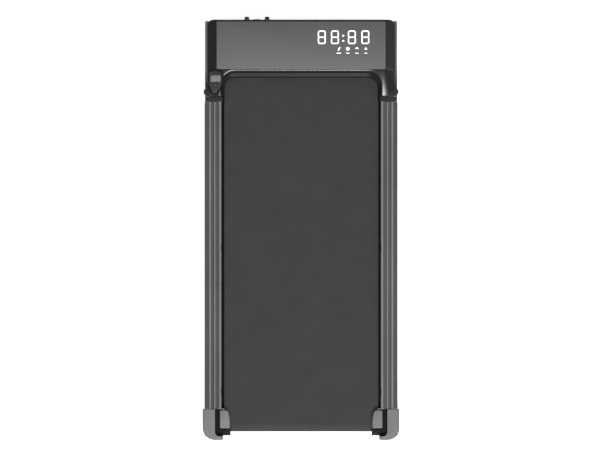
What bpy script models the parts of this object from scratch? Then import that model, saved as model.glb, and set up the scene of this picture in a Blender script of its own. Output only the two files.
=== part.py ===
"""Slim walking pad treadmill: steel frame, belt over two rollers, motor under a front hood.

Metres, +Z up. X runs across, +Y points at the motor hood, and the floor is at Z = 0.
"""

import math

import bmesh
import bpy
from mathutils import Matrix, Vector

MM = 0.001

# Fits
fit = 0.3 * MM  # gap between pieces that touch
edge_steps = 5  # straight pieces in a rounded corner
turn_steps = 24  # sides of a turned piece

# Overall
body_length = 1120 * MM  # hood front to rear caps
body_width = 524 * MM  # over the rear caps
cap_proud = 6.2 * MM  # rear caps past the hood's sides
hood_top = 118 * MM
belt_top = 76 * MM
stub_reach = 8 * MM  # front stubs stand this far out of the hood

# Hood, measured back from its front face
hood_depth = 132 * MM  # front face to the rear crest
hood_wall = 2.5 * MM
hood_skirt = 24 * MM  # height of the hood's lower edge
hood_corner = 25 * MM
cheek_width = 30.8 * MM  # the sloping band beside the top panel
cheek_drop = 30 * MM
panel_margin = 5 * MM  # hood front face to the panel's front edge
panel_thick = 2.7 * MM
crest_width = 4 * MM
lip_depth = 22.4 * MM  # crest to the window's edge over the belt
lip_gap = 2 * MM  # over the belt
window_corner = 27 * MM
arm_length = 72 * MM  # crest to the end of the hood's arms
arm_step = 6 * MM  # arms' rear end above the rails
collar_length = 15 * MM
collar_step = 2 * MM
collar_chamfer = 4 * MM

# Belt, deck and rollers
belt_width = 408.4 * MM
belt_thick = 1.6 * MM
belt_setback = 22.4 * MM  # rear face of the caps to the end of the belt
roller_radius = 21 * MM
roller_wall = 3 * MM
roller_ahead = 14.4 * MM  # window edge to the front roller's axis
axle_radius = 6 * MM
bearing_width = 12 * MM
bearing_inset = 2 * MM
axle_proud = 3 * MM  # past the frame
deck_thick = 14 * MM
deck_edge = 1.3 * MM  # deck past the belt, each side
deck_gap = 3 * MM  # deck to rollers
cushion_thick = 3.6 * MM
cushion_width = 26 * MM

# Frame
tube_width = 24 * MM
tube_height = 44 * MM
tube_gap = 2 * MM  # under the hood's lip
tube_wall = 2 * MM
tube_inset = 11 * MM  # rail's outer face to the tube
tube_rear_gap = 16 * MM  # rear band of the cap to the tube's end
tube_front_gap = 12 * MM  # hood's front face to the tube's end
strand_clear = 6.1 * MM  # over the belt's lower run
cross_depth = 20 * MM
cross_wall = 2 * MM
cross_rear_back = 60 * MM  # deck's rear end to the rear cross tube
drive_clear = 2.6 * MM  # drive belt to the front cross tube
adjust_travel = 8 * MM  # rear axle, each way

# Rails
rail_proud = 1.2 * MM  # rail's outer face past the hood's
rail_gap = 8.5 * MM  # belt's edge to the rail
rail_rise = 10 * MM  # over the belt
rail_low = 26 * MM
rail_wall = 2 * MM
ledge_gap = 1.2 * MM  # rail's inner foot to the deck
rib_height = 1.5 * MM
rib_width = 3 * MM
rib_places = [4.3 * MM, 18 * MM, 31 * MM]  # rib centres from the rail's inner edge

# Rear corner
cap_length = 83 * MM
cap_corner = 32 * MM
channel_width = 12 * MM  # dark channel between the shell and the belt guard
cap_tail = 11 * MM  # rear band of the shell
cap_wall = 4 * MM
cap_rise = 3 * MM  # over the rails
cap_low = 10.3 * MM
hook_reach = 4.7 * MM  # rear band of the shell, inwards past the rail
guard_lap = 14.2 * MM  # guard over the belt's edge
guard_past = 3.8 * MM  # guard past the rail's inner face
guard_length = 47.5 * MM
guard_back = 4 * MM  # behind the cap's front
bumper_lap = 16.2 * MM  # bumper behind the belt's edge
bumper_gap = 1.6 * MM
bumper_wall = 9 * MM
foot_height = 10 * MM
bolt_radius = 3 * MM
bolt_head = 5.5 * MM
bolt_head_length = 6 * MM

# Motor and drive
motor_radius = 35 * MM
motor_ahead = 82 * MM  # front roller axis to motor axis
motor_z = 64 * MM
motor_gap = 16.5 * MM  # pulley to motor
motor_length = 160 * MM
shaft_radius = 5 * MM
pulley_width = 13 * MM
pulley_clear = 2.3 * MM  # belt edge to roller pulley
pulley_rise = 3 * MM  # roller pulley over the roller
motor_pulley_radius = 14 * MM
groove_count = 3
groove_depth = 1.2 * MM
drive_belt_thick = 2.4 * MM
drive_belt_width = 11 * MM
flywheel_radius = 32 * MM
flywheel_width = 12 * MM
flywheel_gap = 4 * MM  # motor to flywheel
controller_length = 160 * MM
controller_depth = 72 * MM
controller_height = 38 * MM
controller_x = 30 * MM  # left end of the housing
fin_count = 7

# Pan, feet and transport wheels
pan_low = 20 * MM
pan_thick = 2 * MM
pan_wall = 3 * MM
pan_setback = 12 * MM  # hood front face to the pan
pan_inset = 3 * MM  # tube's outer face to the pan's
pan_rear = 4 * MM  # behind the end of the arms
front_foot_radius = 16 * MM
foot_inset = 17 * MM  # tube's inner face to the front foot's centre
front_foot_back = 86 * MM
wheel_radius = 20 * MM
wheel_width = 9.4 * MM
wheel_z = 22 * MM
wheel_front = 2 * MM  # hood front face to the wheel's front
wheel_arch = 3 * MM
wheel_pin_radius = 4 * MM
ear_length = 30 * MM

# Display
display_inset = 29 * MM  # panel's right edge to the opening
display_width = 166 * MM
display_depth = 80 * MM
display_back = 18 * MM  # hood front face to the opening
board_thick = 1.6 * MM

# Front stubs and switch
gland_inset = 80.4 * MM  # panel's left edge to the cord gland
stub_spacing = 53.8 * MM
stub_radius = 6 * MM
stub_z = 62 * MM
stub_flange = 8.5 * MM
stub_flange_thick = 2.5 * MM
stub_inside = 8 * MM  # behind the hood's wall
cord_hole = 3.2 * MM
button_radius = 3.8 * MM
button_travel = 3 * MM
switch_width = 15 * MM
switch_height = 21 * MM
switch_rim = 2 * MM
switch_depth = 14 * MM
rocker_tilt = 8.0  # degrees each way

# Remote control and its cradle
cradle_inset = 6.8 * MM  # hood's side to the cradle
cradle_gap = 2.3 * MM  # belt's edge to the cradle
cradle_front = 0.5 * MM  # behind the crest
cradle_length = 66 * MM
cradle_lift = 4 * MM  # over the hood's lip
cradle_height = 28 * MM
cradle_wall = 3.5 * MM
cradle_floor = 3 * MM
cradle_taper = 0.42  # share of its length over which the cradle narrows
remote_height = 31 * MM
key_travel = 1 * MM
start_key_width = 27 * MM
start_key_length = 17 * MM
start_key_back = 12 * MM
speed_key_width = 9 * MM
speed_key_length = 20 * MM
key_gap = 5 * MM
key_proud = 1.2 * MM
key_depth = 5 * MM
crown_rise = 6 * MM  # how far the remote's top bulges along its length
crown_shoulder = 8 * MM

# Side bolts
side_bolt_radius = 7 * MM
side_bolt_proud = 3.5 * MM
side_bolt_z = 54 * MM
side_bolt_ahead = 12 * MM  # from the end of the arms

# Places that follow from the sizes above
rear_y = -(body_length + stub_reach) / 2
front_y = rear_y + body_length
crest_y = front_y - hood_depth
window_y = crest_y - lip_depth
arm_y = crest_y - arm_length
rail_front_y = arm_y - collar_length
cap_front_y = rear_y + cap_length
hood_half = body_width / 2 - cap_proud
belt_half = belt_width / 2
lip_low = belt_top + lip_gap
rail_top = belt_top + rail_rise
arm_low = rail_top + arm_step
rail_outer = hood_half + rail_proud
rail_inner = belt_half + rail_gap
tube_outer = rail_outer - tube_inset
tube_inner = tube_outer - tube_width
tube_top = lip_low - tube_gap
tube_low = tube_top - tube_height
tube_rear_y = rear_y + cap_tail + tube_rear_gap
deck_half = belt_half + deck_edge
belt_inside = roller_radius + fit
roller_z = belt_top - belt_thick - belt_inside
roller_pulley_radius = roller_radius + pulley_rise
front_roller_y = window_y + roller_ahead
rear_roller_y = rear_y + belt_setback + belt_inside + belt_thick
deck_top = belt_top - belt_thick - fit
deck_low = deck_top - deck_thick
cushion_low = deck_low - fit - cushion_thick
cross_top = cushion_low - fit
cross_low = roller_z - belt_inside + strand_clear
motor_y = front_roller_y + motor_ahead
pulley_outer = belt_half + pulley_clear + pulley_width
motor_left = -(pulley_outer - pulley_width - motor_gap)
panel_half = hood_half - cheek_width
arm_drop = hood_top - arm_low
gland_x = gland_inset - panel_half
breaker_x = gland_x + stub_spacing
switch_x = (gland_x + breaker_x) / 2
display_x = panel_half - display_inset - display_width
wheel_y = front_y - wheel_front - wheel_radius
pan_floor = pan_low + pan_thick
pan_half = tube_outer - pan_inset
front_foot_x = tube_inner - foot_inset
cap_half = body_width / 2
cap_top = rail_top + cap_rise
cap_hook = rail_inner - hook_reach
seat_top = lip_low
guard_inner = belt_half - guard_lap
guard_outer = rail_inner + guard_past
bumper_inner = belt_half - bumper_lap
bumper_radius = belt_inside + belt_thick + bumper_gap + bumper_wall
cradle_outer = hood_half - cradle_inset
cradle_inner = belt_half + cradle_gap
cradle_low = lip_low + cradle_lift
cradle_top = cradle_low + cradle_height

parts = None
cutters = None
sides = ((-1, "left"), (1, "right"))

finishes = {
    "hood_black": ((0.045, 0.044, 0.044), 0.35, 0.0),
    "panel_smoke": ((0.06, 0.058, 0.057), 0.3, 0.0),
    "cap_grey": ((0.22, 0.22, 0.22), 0.5, 0.0),
    "rubber_black": ((0.02, 0.02, 0.02), 0.85, 0.0),
    "belt_black": ((0.045, 0.045, 0.046), 0.8, 0.0),
    "rail_anodised": ((0.12, 0.12, 0.125), 0.4, 0.8),
    "steel_black": ((0.05, 0.05, 0.052), 0.5, 0.6),
    "steel_bright": ((0.55, 0.56, 0.57), 0.3, 1.0),
    "wood_board": ((0.1, 0.075, 0.055), 0.6, 0.0),
    "circuit_board": ((0.02, 0.09, 0.05), 0.5, 0.0),
    "aluminium": ((0.5, 0.5, 0.51), 0.4, 1.0),
    "remote_dark": ((0.035, 0.035, 0.036), 0.35, 0.0),
    "key_light": ((0.35, 0.35, 0.36), 0.35, 0.0),
    "switch_red": ((0.5, 0.02, 0.02), 0.3, 0.0),
}


def clear_scene():
    for thing in list(bpy.data.objects):
        bpy.data.objects.remove(thing)


def add_collections():
    global parts, cutters
    parts = bpy.data.collections.new("treadmill")
    cutters = bpy.data.collections.new("treadmill_cutters")
    for group in (parts, cutters):
        bpy.context.scene.collection.children.link(group)


def finish(thing, name):
    """Gives a piece its own material."""
    colour, roughness, metallic = finishes[name]
    material = bpy.data.materials.new(thing.name + "_" + name)
    material.use_nodes = True
    shader = material.node_tree.nodes["Principled BSDF"]
    shader.inputs["Base Color"].default_value = (*colour, 1.0)
    shader.inputs["Roughness"].default_value = roughness
    shader.inputs["Metallic"].default_value = metallic
    thing.data.materials.clear()
    thing.data.materials.append(material)
    return thing


def add_mesh(name, mesh):
    thing = bpy.data.objects.new(name, mesh)
    parts.objects.link(thing)
    return thing


def add_bmesh(name, bm):
    bmesh.ops.recalc_face_normals(bm, faces=bm.faces)
    mesh = bpy.data.meshes.new(name)
    bm.to_mesh(mesh)
    bm.free()
    return add_mesh(name, mesh)


def set_origin(thing, point):
    """Moves the piece's origin to a point, its shape staying in place."""
    thing.data.transform(Matrix.Translation(-Vector(point)))
    thing.location = point
    return thing


def box(name, across, along, up):
    """A block between two values on each axis, in either order."""
    low = Vector(min(pair) for pair in (across, along, up))
    high = Vector(max(pair) for pair in (across, along, up))
    bm = bmesh.new()
    bmesh.ops.create_cube(bm, size=1)
    bmesh.ops.scale(bm, vec=high - low, verts=bm.verts)
    bmesh.ops.translate(bm, vec=(low + high) / 2, verts=bm.verts)
    return add_bmesh(name, bm)


def rod(name, axis, centre, radius, start, end, steps=turn_steps):
    """A round bar along an axis, between two places on it."""
    bm = bmesh.new()
    bmesh.ops.create_cone(
        bm, cap_ends=True, segments=steps, radius1=radius, radius2=radius, depth=abs(end - start)
    )
    turn = {"X": Matrix.Rotation(math.pi / 2, 4, "Y"), "Y": Matrix.Rotation(-math.pi / 2, 4, "X")}
    bmesh.ops.transform(bm, matrix=turn.get(axis, Matrix.Identity(4)), verts=bm.verts)
    place = Vector(centre)
    place["XYZ".index(axis)] = (start + end) / 2
    bmesh.ops.translate(bm, vec=place, verts=bm.verts)
    return add_bmesh(name, bm)


def prism(name, outlines, axis, start, end):
    """Extrudes flat outlines: the first is the edge, any others are holes in it."""
    curve = bpy.data.curves.new(name, "CURVE")
    curve.dimensions = "2D"
    curve.fill_mode = "BOTH"
    curve.extrude = abs(end - start) / 2
    for outline in outlines:
        spline = curve.splines.new("POLY")
        spline.points.add(len(outline) - 1)
        for point, (u, v) in zip(spline.points, outline):
            point.co = (u, v, 0, 1)
        spline.use_cyclic_u = True
    flat = bpy.data.objects.new(name + "_outline", curve)
    parts.objects.link(flat)
    middle = (start + end) / 2
    flat.matrix_world = {
        "X": Matrix(((0, 0, 1, middle), (1, 0, 0, 0), (0, 1, 0, 0), (0, 0, 0, 1))),
        "Y": Matrix(((1, 0, 0, 0), (0, 0, -1, middle), (0, 1, 0, 0), (0, 0, 0, 1))),
        "Z": Matrix.Translation((0, 0, middle)),
    }[axis]
    bpy.context.view_layer.update()
    solid = flat.evaluated_get(bpy.context.evaluated_depsgraph_get())
    mesh = bpy.data.meshes.new_from_object(solid)
    mesh.transform(flat.matrix_world)
    bpy.data.objects.remove(flat)
    bm = bmesh.new()
    bm.from_mesh(mesh)
    bpy.data.meshes.remove(mesh)
    bmesh.ops.remove_doubles(bm, verts=bm.verts, dist=0.002 * MM)
    return add_bmesh(name, bm)


def turned(name, profile, axis, centre, ring=False):
    """Turns (radius, place along the axis) points, which run from the far end to the near one."""
    mesh = bpy.data.meshes.new(name)
    points = [(radius, 0, place) for radius, place in profile]
    edges = [(i, i + 1) for i in range(len(points) - 1)]
    if ring:
        edges.append((len(points) - 1, 0))
    mesh.from_pydata(points, edges, [])
    thing = add_mesh(name, mesh)
    screw = thing.modifiers.new("turn", "SCREW")
    screw.axis = "Z"
    screw.steps = turn_steps
    screw.render_steps = turn_steps
    screw.use_merge_vertices = True
    screw.merge_threshold = 0.00001
    thing.rotation_euler = {"X": (0, math.pi / 2, 0), "Y": (-math.pi / 2, 0, 0), "Z": (0, 0, 0)}[axis]
    thing.location = centre
    return thing


def ring_profile(inner, outer, start, end):
    """A plain bush's profile, from its far end."""
    high, low = max(start, end), min(start, end)
    return [(outer, high), (outer, low), (inner, low), (inner, high)]


def loft(name, loops):
    """A solid through closed loops with equal numbers of points."""
    bm = bmesh.new()
    rings = [[bm.verts.new(point) for point in loop] for loop in loops]
    bm.faces.new(rings[0])
    bm.faces.new(rings[-1])
    for low, high in zip(rings, rings[1:]):
        for i in range(len(low)):
            bm.faces.new((low[i - 1], low[i], high[i], high[i - 1]))
    return add_bmesh(name, bm)


def boolean(thing, other, operation="DIFFERENCE"):
    """Cuts, joins or trims a piece by another, which becomes a hidden cutter."""
    step = thing.modifiers.new(operation.lower(), "BOOLEAN")
    step.operation = operation
    step.solver = "EXACT"
    step.object = other
    parts.objects.unlink(other)
    cutters.objects.link(other)
    other.hide_render = True
    other.display_type = "WIRE"
    return thing


def cut(thing, *others):
    for other in others:
        boolean(thing, other)
    return thing


def join(thing, *others):
    for other in others:
        boolean(thing, other, "UNION")
    return thing


def bevel(thing, width, segments=2, angle=40):
    step = thing.modifiers.new("edges", "BEVEL")
    step.width = width
    step.segments = segments
    step.limit_method = "ANGLE"
    step.angle_limit = math.radians(angle)
    return thing


def rounded(corners, steps=edge_steps):
    """A closed outline from (x, y, radius) corners."""
    points = []
    for i, (x, y, radius) in enumerate(corners):
        here = Vector((x, y))
        if radius <= 0:
            points.append((x, y))
            continue
        back = (Vector(corners[i - 1][:2]) - here).normalized()
        ahead = (Vector(corners[(i + 1) % len(corners)][:2]) - here).normalized()
        half = back.angle(ahead) / 2
        centre = here + (back + ahead).normalized() * radius / math.sin(half)
        start = here + back * radius / math.tan(half) - centre
        stop = here + ahead * radius / math.tan(half) - centre
        first = math.atan2(start.y, start.x)
        sweep = (math.atan2(stop.y, stop.x) - first + math.pi) % (2 * math.pi) - math.pi
        for k in range(steps + 1):
            angle = first + sweep * k / steps
            points.append((centre.x + radius * math.cos(angle), centre.y + radius * math.sin(angle)))
    return points


def arc(centre, radius, first, last, steps):
    """Points on an arc, angles in degrees."""
    angles = [math.radians(first + (last - first) * k / steps) for k in range(steps + 1)]
    return [(centre[0] + radius * math.cos(a), centre[1] + radius * math.sin(a)) for a in angles]


def loop_round(first, first_radius, last, last_radius, steps=14):
    """The outline of a belt round two wheels, in the plane of their centres."""
    line = Vector(last) - Vector(first)
    tilt = math.degrees(math.atan2(line.y, line.x))
    lean = math.degrees(math.acos((first_radius - last_radius) / line.length))
    near = arc(first, first_radius, tilt + lean, tilt + 360 - lean, steps)
    far = arc(last, last_radius, tilt - lean, tilt + lean, steps)
    return near + far


def slot_outline(y, z, radius, travel):
    """A slot along Y with round ends."""
    return arc((y - travel, z), radius, 90, 270, 8) + arc((y + travel, z), radius, -90, 90, 8)


def tube(name, across, along, up, wall, way):
    """A rectangular tube, open at both ends of the way it runs."""
    thing = box(name, across, along, up)
    inside = []
    for axis, pair in zip("XYZ", (across, along, up)):
        low, high = min(pair), max(pair)
        inside.append((low - wall, high + wall) if axis == way else (low + wall, high - wall))
    return cut(thing, box(name + "_inside", *inside))


# ---- frame ----


def make_frame():
    for side, tag in sides:
        across = (side * tube_inner, side * tube_outer)
        beam = tube(
            "frame_side_" + tag,
            across,
            (tube_rear_y, front_y - tube_front_gap),
            (tube_low, tube_top),
            tube_wall,
            "Y",
        )
        reach = (side * (tube_inner - 2 * MM), side * (tube_outer + 2 * MM))
        hole = axle_radius + fit
        front_hole = rod("axle_hole_" + tag, "X", (0, front_roller_y, roller_z), hole, *reach)
        slot = slot_outline(rear_roller_y, roller_z, hole, adjust_travel)
        cut(beam, front_hole, prism("axle_slot_" + tag, [slot], "X", *reach))
        finish(beam, "steel_black")
    reach = tube_inner - fit
    deck_rear = rear_roller_y + roller_radius + deck_gap
    deck_front = front_roller_y - roller_radius - deck_gap
    belt_back = front_roller_y - roller_pulley_radius - drive_belt_thick
    places = {
        "rear": deck_rear + cross_rear_back,
        "middle": (deck_rear + deck_front) / 2,
        "front": belt_back - drive_clear - cross_depth / 2,
    }
    for tag, y in places.items():
        along = (y - cross_depth / 2, y + cross_depth / 2)
        up = (cross_low, cross_top)
        finish(tube("cross_" + tag, (-reach, reach), along, up, cross_wall, "X"), "steel_black")
    for side, tag in sides:
        middle = side * deck_half * 0.8
        across = (middle - cushion_width / 2, middle + cushion_width / 2)
        along = (places["rear"] - cross_depth, places["front"] + cross_depth / 2)
        strip = box("deck_cushion_" + tag, across, along, (cushion_low, cushion_low + cushion_thick))
        finish(strip, "rubber_black")
    board = box("deck_board", (-deck_half, deck_half), (deck_rear, deck_front), (deck_low, deck_top))
    finish(board, "wood_board")


# ---- belt and rollers ----


def make_belt():
    rear, front = (rear_roller_y, roller_z), (front_roller_y, roller_z)
    outside = loop_round(rear, belt_inside + belt_thick, front, belt_inside + belt_thick)
    inside = loop_round(rear, belt_inside, front, belt_inside)
    belt = prism("walking_belt", [outside, inside], "X", -belt_half, belt_half)
    finish(belt, "belt_black")


def make_roller(tag, y):
    centre = (0, y, roller_z)
    bore = roller_radius - roller_wall
    name = "rear_roller" if tag == "rear" else "front_roller"
    drum = turned(name, ring_profile(bore, roller_radius, -belt_half, belt_half), "X", centre, ring=True)
    finish(drum, "steel_bright")
    for side, hand in sides:
        outer = belt_half - bearing_inset
        ends = (side * outer, side * (outer - bearing_width))
        profile = ring_profile(axle_radius + fit, bore - fit, *ends)
        bearing = turned(tag + "_bearing_" + hand, profile, "X", centre, ring=True)
        finish(bearing, "steel_bright")
    half = tube_outer + axle_proud
    axle = rod(tag + "_axle", "X", centre, axle_radius, -half, half)
    if tag == "rear":
        for side, hand in sides:
            x = side * (tube_inner + tube_outer) / 2
            hole = rod("bolt_hole_" + hand, "Y", (x, 0, roller_z), bolt_radius + fit, y - 10 * MM, y + 10 * MM)
            cut(axle, hole)
    finish(axle, "steel_bright")


def grooved(inner, outer, start, end, grooves, depth):
    """A grooved pulley's profile, from its far end."""
    points = [(outer, end)]
    pitch = (end - start) / grooves
    for k in range(grooves):
        top = end - k * pitch
        points += [(outer, top - pitch * 0.2), (outer - depth, top - pitch * 0.5), (outer, top - pitch * 0.8)]
    return points + [(outer, start), (inner, start), (inner, end)]


def make_drive():
    start, end = -pulley_outer, -pulley_outer + pulley_width
    hub = -belt_half - fit
    big = (front_roller_y, roller_z)
    small = (motor_y, motor_z)
    profile = grooved(axle_radius + fit, roller_pulley_radius, start, end, groove_count, groove_depth)
    collar = roller_radius - 4 * MM
    profile = profile[:-1] + [(axle_radius + fit, hub), (collar, hub), (collar, end)]
    pulley = turned("roller_pulley", profile, "X", (0, *big), ring=True)
    finish(pulley, "aluminium")
    profile = grooved(shaft_radius + fit, motor_pulley_radius, start, end, groove_count, groove_depth)
    finish(turned("motor_pulley", profile, "X", (0, *small), ring=True), "aluminium")
    near, far = roller_pulley_radius + fit, motor_pulley_radius + fit
    outside = loop_round(big, near + drive_belt_thick, small, far + drive_belt_thick)
    middle = (start + end) / 2
    belt = prism(
        "drive_belt",
        [outside, loop_round(big, near, small, far)],
        "X",
        middle - drive_belt_width / 2,
        middle + drive_belt_width / 2,
    )
    finish(belt, "rubber_black")


def make_motor():
    centre = (0, motor_y, motor_z)
    end = motor_left + motor_length
    bore = shaft_radius + fit
    neck, shoulder = motor_radius * 0.6, motor_radius * 0.92
    bell = 14 * MM
    profile = [
        (neck, end),
        (shoulder, end - bell * 0.3),
        (shoulder, end - bell),
        (motor_radius, end - bell),
        (motor_radius, motor_left + bell),
        (shoulder, motor_left + bell),
        (shoulder, motor_left + bell * 0.3),
        (neck, motor_left),
        (bore, motor_left),
        (bore, end),
    ]
    finish(turned("motor_body", profile, "X", centre, ring=True), "steel_black")
    wheel = end + flywheel_gap
    rim = flywheel_radius - 6 * MM
    profile = [
        (flywheel_radius, wheel + flywheel_width),
        (flywheel_radius, wheel),
        (rim, wheel),
        (rim, wheel + flywheel_width * 0.6),
        (shaft_radius * 2, wheel + flywheel_width * 0.6),
        (shaft_radius * 2, wheel),
        (bore, wheel),
        (bore, wheel + flywheel_width),
    ]
    finish(turned("motor_flywheel", profile, "X", centre, ring=True), "steel_bright")
    shaft = rod("motor_shaft", "X", centre, shaft_radius, -pulley_outer, wheel + flywheel_width + 2 * MM)
    finish(set_origin(shaft, centre), "steel_bright")
    middle = motor_left + motor_length / 2
    across = (middle - motor_length * 0.3, middle + motor_length * 0.3)
    along = (motor_y - motor_radius * 0.85, motor_y + motor_radius * 0.85)
    cradle = box("motor_bracket", across, along, (pan_floor + fit, motor_z - motor_radius * 0.6))
    nest = rod("motor_nest", "X", centre, motor_radius + fit, across[0] - 5 * MM, across[1] + 5 * MM)
    finish(cut(cradle, nest), "steel_black")


def make_controller():
    """A finned housing: its fins run across the pad."""
    back = motor_y - controller_depth / 2
    base, top = pan_floor + fit, pan_floor + fit + controller_height
    root = top - controller_height * 0.3
    outline = [(back, base), (back + controller_depth, base)]
    pitch = controller_depth / (2 * fin_count - 1)
    for k in range(fin_count):
        right = back + controller_depth - 2 * k * pitch
        outline += [(right, root), (right, top), (right - pitch, top), (right - pitch, root)]
    outline = [point for i, point in enumerate(outline) if i == 0 or point != outline[i - 1]]
    housing = prism("controller", [outline], "X", controller_x, controller_x + controller_length)
    finish(housing, "aluminium")


# ---- hood ----


def side_profile(front, top, rear, low_end, bottom, round_front):
    """The hood seen from its side: front face, flat top, and arms that fall away to the rear."""
    corner = rounded([(front, bottom, 0), (front, top, round_front), (crest_y, top, 0)])
    fall = 8
    slope = []
    for k in range(1, fall + 1):
        share = k / fall
        y = crest_y + (rear - crest_y) * share
        slope.append((y, top - (top - low_end) * share**1.7))
    return corner + slope + [(rear, bottom)]


def end_profile(half, top, bottom, inset):
    """The hood seen from its front: a flat top with a sloping cheek on each side."""
    shoulder = panel_half - inset
    right = [
        (half, bottom),
        (half, top - cheek_drop),
        (shoulder + (half - shoulder) * 0.9, top - cheek_drop * 0.62),
        (shoulder + (half - shoulder) * 0.62, top - cheek_drop * 0.36),
        (shoulder, top),
    ]
    return right + [(-x, z) for x, z in reversed(right)]


def hood_block(name, wall, roof_drop, bottom):
    """The hood's outer form, or with a wall its inside."""
    front, rear = front_y - wall, arm_y + wall
    half, top = hood_half - wall, hood_top - roof_drop
    corner = max(hood_corner - wall, 1 * MM)
    outline = side_profile(front, top, rear, arm_low - wall, bottom, 5 * MM)
    block = prism(name, [outline], "X", -half - 1 * MM, half + 1 * MM)
    across = prism(name + "_ends", [end_profile(half, top, bottom, wall / 2)], "Y", rear - 5 * MM, front + 5 * MM)
    plan = [(-half, rear, 0), (half, rear, 0), (half, front, corner), (-half, front, corner)]
    above = prism(name + "_plan", [rounded(plan)], "Z", bottom - 5 * MM, top + 5 * MM)
    boolean(block, across, "INTERSECT")
    return boolean(block, above, "INTERSECT")


def window_cutter(name, wall):
    """The U-shaped window over the belt, flaring upwards; with a wall it is that much larger."""
    levels = [
        (lip_low, belt_half, window_y, window_corner),
        (lip_low + 6 * MM, belt_half + 1 * MM, window_y + 1 * MM, window_corner + 1 * MM),
        (lip_low + 20 * MM, belt_half + 12 * MM, crest_y - 9 * MM, window_corner + 6 * MM),
        (hood_top - 5 * MM, belt_half + 15 * MM, crest_y - crest_width, window_corner + 9 * MM),
        (hood_top, belt_half + 18 * MM, crest_y - 0.5 * MM, window_corner + 11 * MM),
    ]
    behind = arm_y - 20 * MM
    loops = []
    for z, half, y, radius in levels:
        half, y, radius = half + wall, y + wall, radius + wall
        corners = [(-half, behind, 0), (half, behind, 0), (half, y, radius), (-half, y, radius)]
        loops.append([(u, v, z) for u, v in rounded(corners)])
    loops[0] = [(u, v, lip_low - (0 if wall else 1 * MM)) for u, v, z in loops[0]]
    loops.append([(u, v, hood_top + 6 * MM) for u, v, z in loops[-1]])
    return loft(name, loops)


def cradle_outline(grow):
    """The remote cradle in plan, tapering to the rear."""
    front = crest_y - cradle_front + grow
    rear = crest_y - cradle_front - cradle_length - grow
    outer, inner = -cradle_outer - grow, -cradle_inner + grow
    width = inner - outer
    knee = rear + cradle_length * cradle_taper
    corners = [
        (outer, front, 12 * MM + grow),
        (outer, knee, 14 * MM),
        (outer + width * 0.22, rear, 7 * MM + grow),
        (inner - width * 0.34, rear, 7 * MM + grow),
        (inner, knee, 14 * MM),
        (inner, front, 14 * MM + grow),
    ]
    return rounded(corners, 3)


def make_hood():
    hood = hood_block("motor_hood", 0, 0, hood_skirt)
    inside = hood_block("hood_inside", hood_wall, hood_wall + panel_thick + fit, hood_skirt - 3 * MM)
    cut(inside, window_cutter("window_wall", hood_wall))
    cut(hood, inside, window_cutter("window", 0))
    tunnel = (-hood_half + hood_wall, hood_half - hood_wall)
    cut(hood, box("belt_tunnel", tunnel, (arm_y - 4 * MM, arm_y + hood_wall + 1 * MM), (0, lip_low - fit)))
    panel_front = front_y - panel_margin
    seat = panel_half + fit
    panel_rear = crest_y + fit
    recess_low = hood_top - panel_thick - fit
    cut(hood, box("panel_seat", (-seat, seat), (crest_y, panel_front + fit), (recess_low, hood_top + 5 * MM)))
    panel = box("top_panel", (-panel_half, panel_half), (panel_rear, panel_front), (recess_low + fit, hood_top))
    finish(panel, "panel_smoke")
    across = (display_x, display_x + display_width)
    along = (front_y - display_back - display_depth, front_y - display_back)
    cut(hood, box("display_opening", across, along, (recess_low - 10 * MM, recess_low + 1 * MM)))
    board = box(
        "display_board",
        (across[0] + fit, across[1] - fit),
        (along[0] + fit, along[1] - fit),
        (recess_low - board_thick, recess_low),
    )
    finish(board, "circuit_board")
    for side, tag in sides:
        reach = (side * (hood_half - wheel_width - 3 * MM), side * (hood_half + 5 * MM))
        arch = rod("wheel_arch_" + tag, "X", (0, wheel_y, wheel_z), wheel_radius + wheel_arch, *reach)
        bolt_y = arm_y + side_bolt_ahead
        reach = (side * (hood_half - 10 * MM), side * (hood_half + 5 * MM))
        hole = rod("side_bolt_hole_" + tag, "X", (0, bolt_y, side_bolt_z), bolt_radius + fit, *reach)
        cut(hood, arch, hole)
    cut(hood, prism("cradle_pocket", [cradle_outline(fit)], "Z", cradle_low - fit, hood_top + 10 * MM))
    through = (front_y - 10 * MM, front_y + 5 * MM)
    for tag, x in (("gland", gland_x), ("breaker", breaker_x)):
        cut(hood, rod(tag + "_hole", "Y", (x, 0, stub_z), stub_radius + fit, *through))
    half_width, half_height = switch_width / 2 + fit, switch_height / 2 + fit
    across = (switch_x - half_width, switch_x + half_width)
    cut(hood, box("switch_hole", across, through, (stub_z - half_height, stub_z + half_height)))
    finish(hood, "hood_black")


def make_collars():
    """The lower step between an arm and its rail."""
    top = arm_low - collar_step
    low = rail_low + 2 * MM
    wall = cap_wall
    for side, tag in sides:
        outline = [
            (side * (belt_half + 0.5 * MM), lip_low),
            (side * (hood_half - wall), lip_low),
            (side * (hood_half - wall), low),
            (side * hood_half, low),
            (side * hood_half, top - collar_chamfer),
            (side * (hood_half - collar_chamfer), top),
            (side * (belt_half + 6 * MM), top),
            (side * (belt_half + 0.5 * MM), top - 8 * MM),
        ]
        collar = prism("collar_" + tag, [outline], "Y", rail_front_y + fit, arm_y - fit)
        finish(collar, "hood_black")


def make_side_bolts():
    for side, tag in sides:
        y = arm_y + side_bolt_ahead
        head = hood_half + fit
        shank = tube_outer + fit
        profile = [
            (0, head + side_bolt_proud),
            (side_bolt_radius * 0.75, head + side_bolt_proud),
            (side_bolt_radius, head + side_bolt_proud * 0.5),
            (side_bolt_radius, head),
            (bolt_radius, head),
            (bolt_radius, shank),
            (0, shank),
        ]
        bolt = turned("side_bolt_" + tag, profile, "X", (0, y, side_bolt_z))
        if side < 0:
            bolt.rotation_euler = (0, -math.pi / 2, 0)
        finish(bolt, "steel_black")


# ---- rails and rear corners ----


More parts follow.
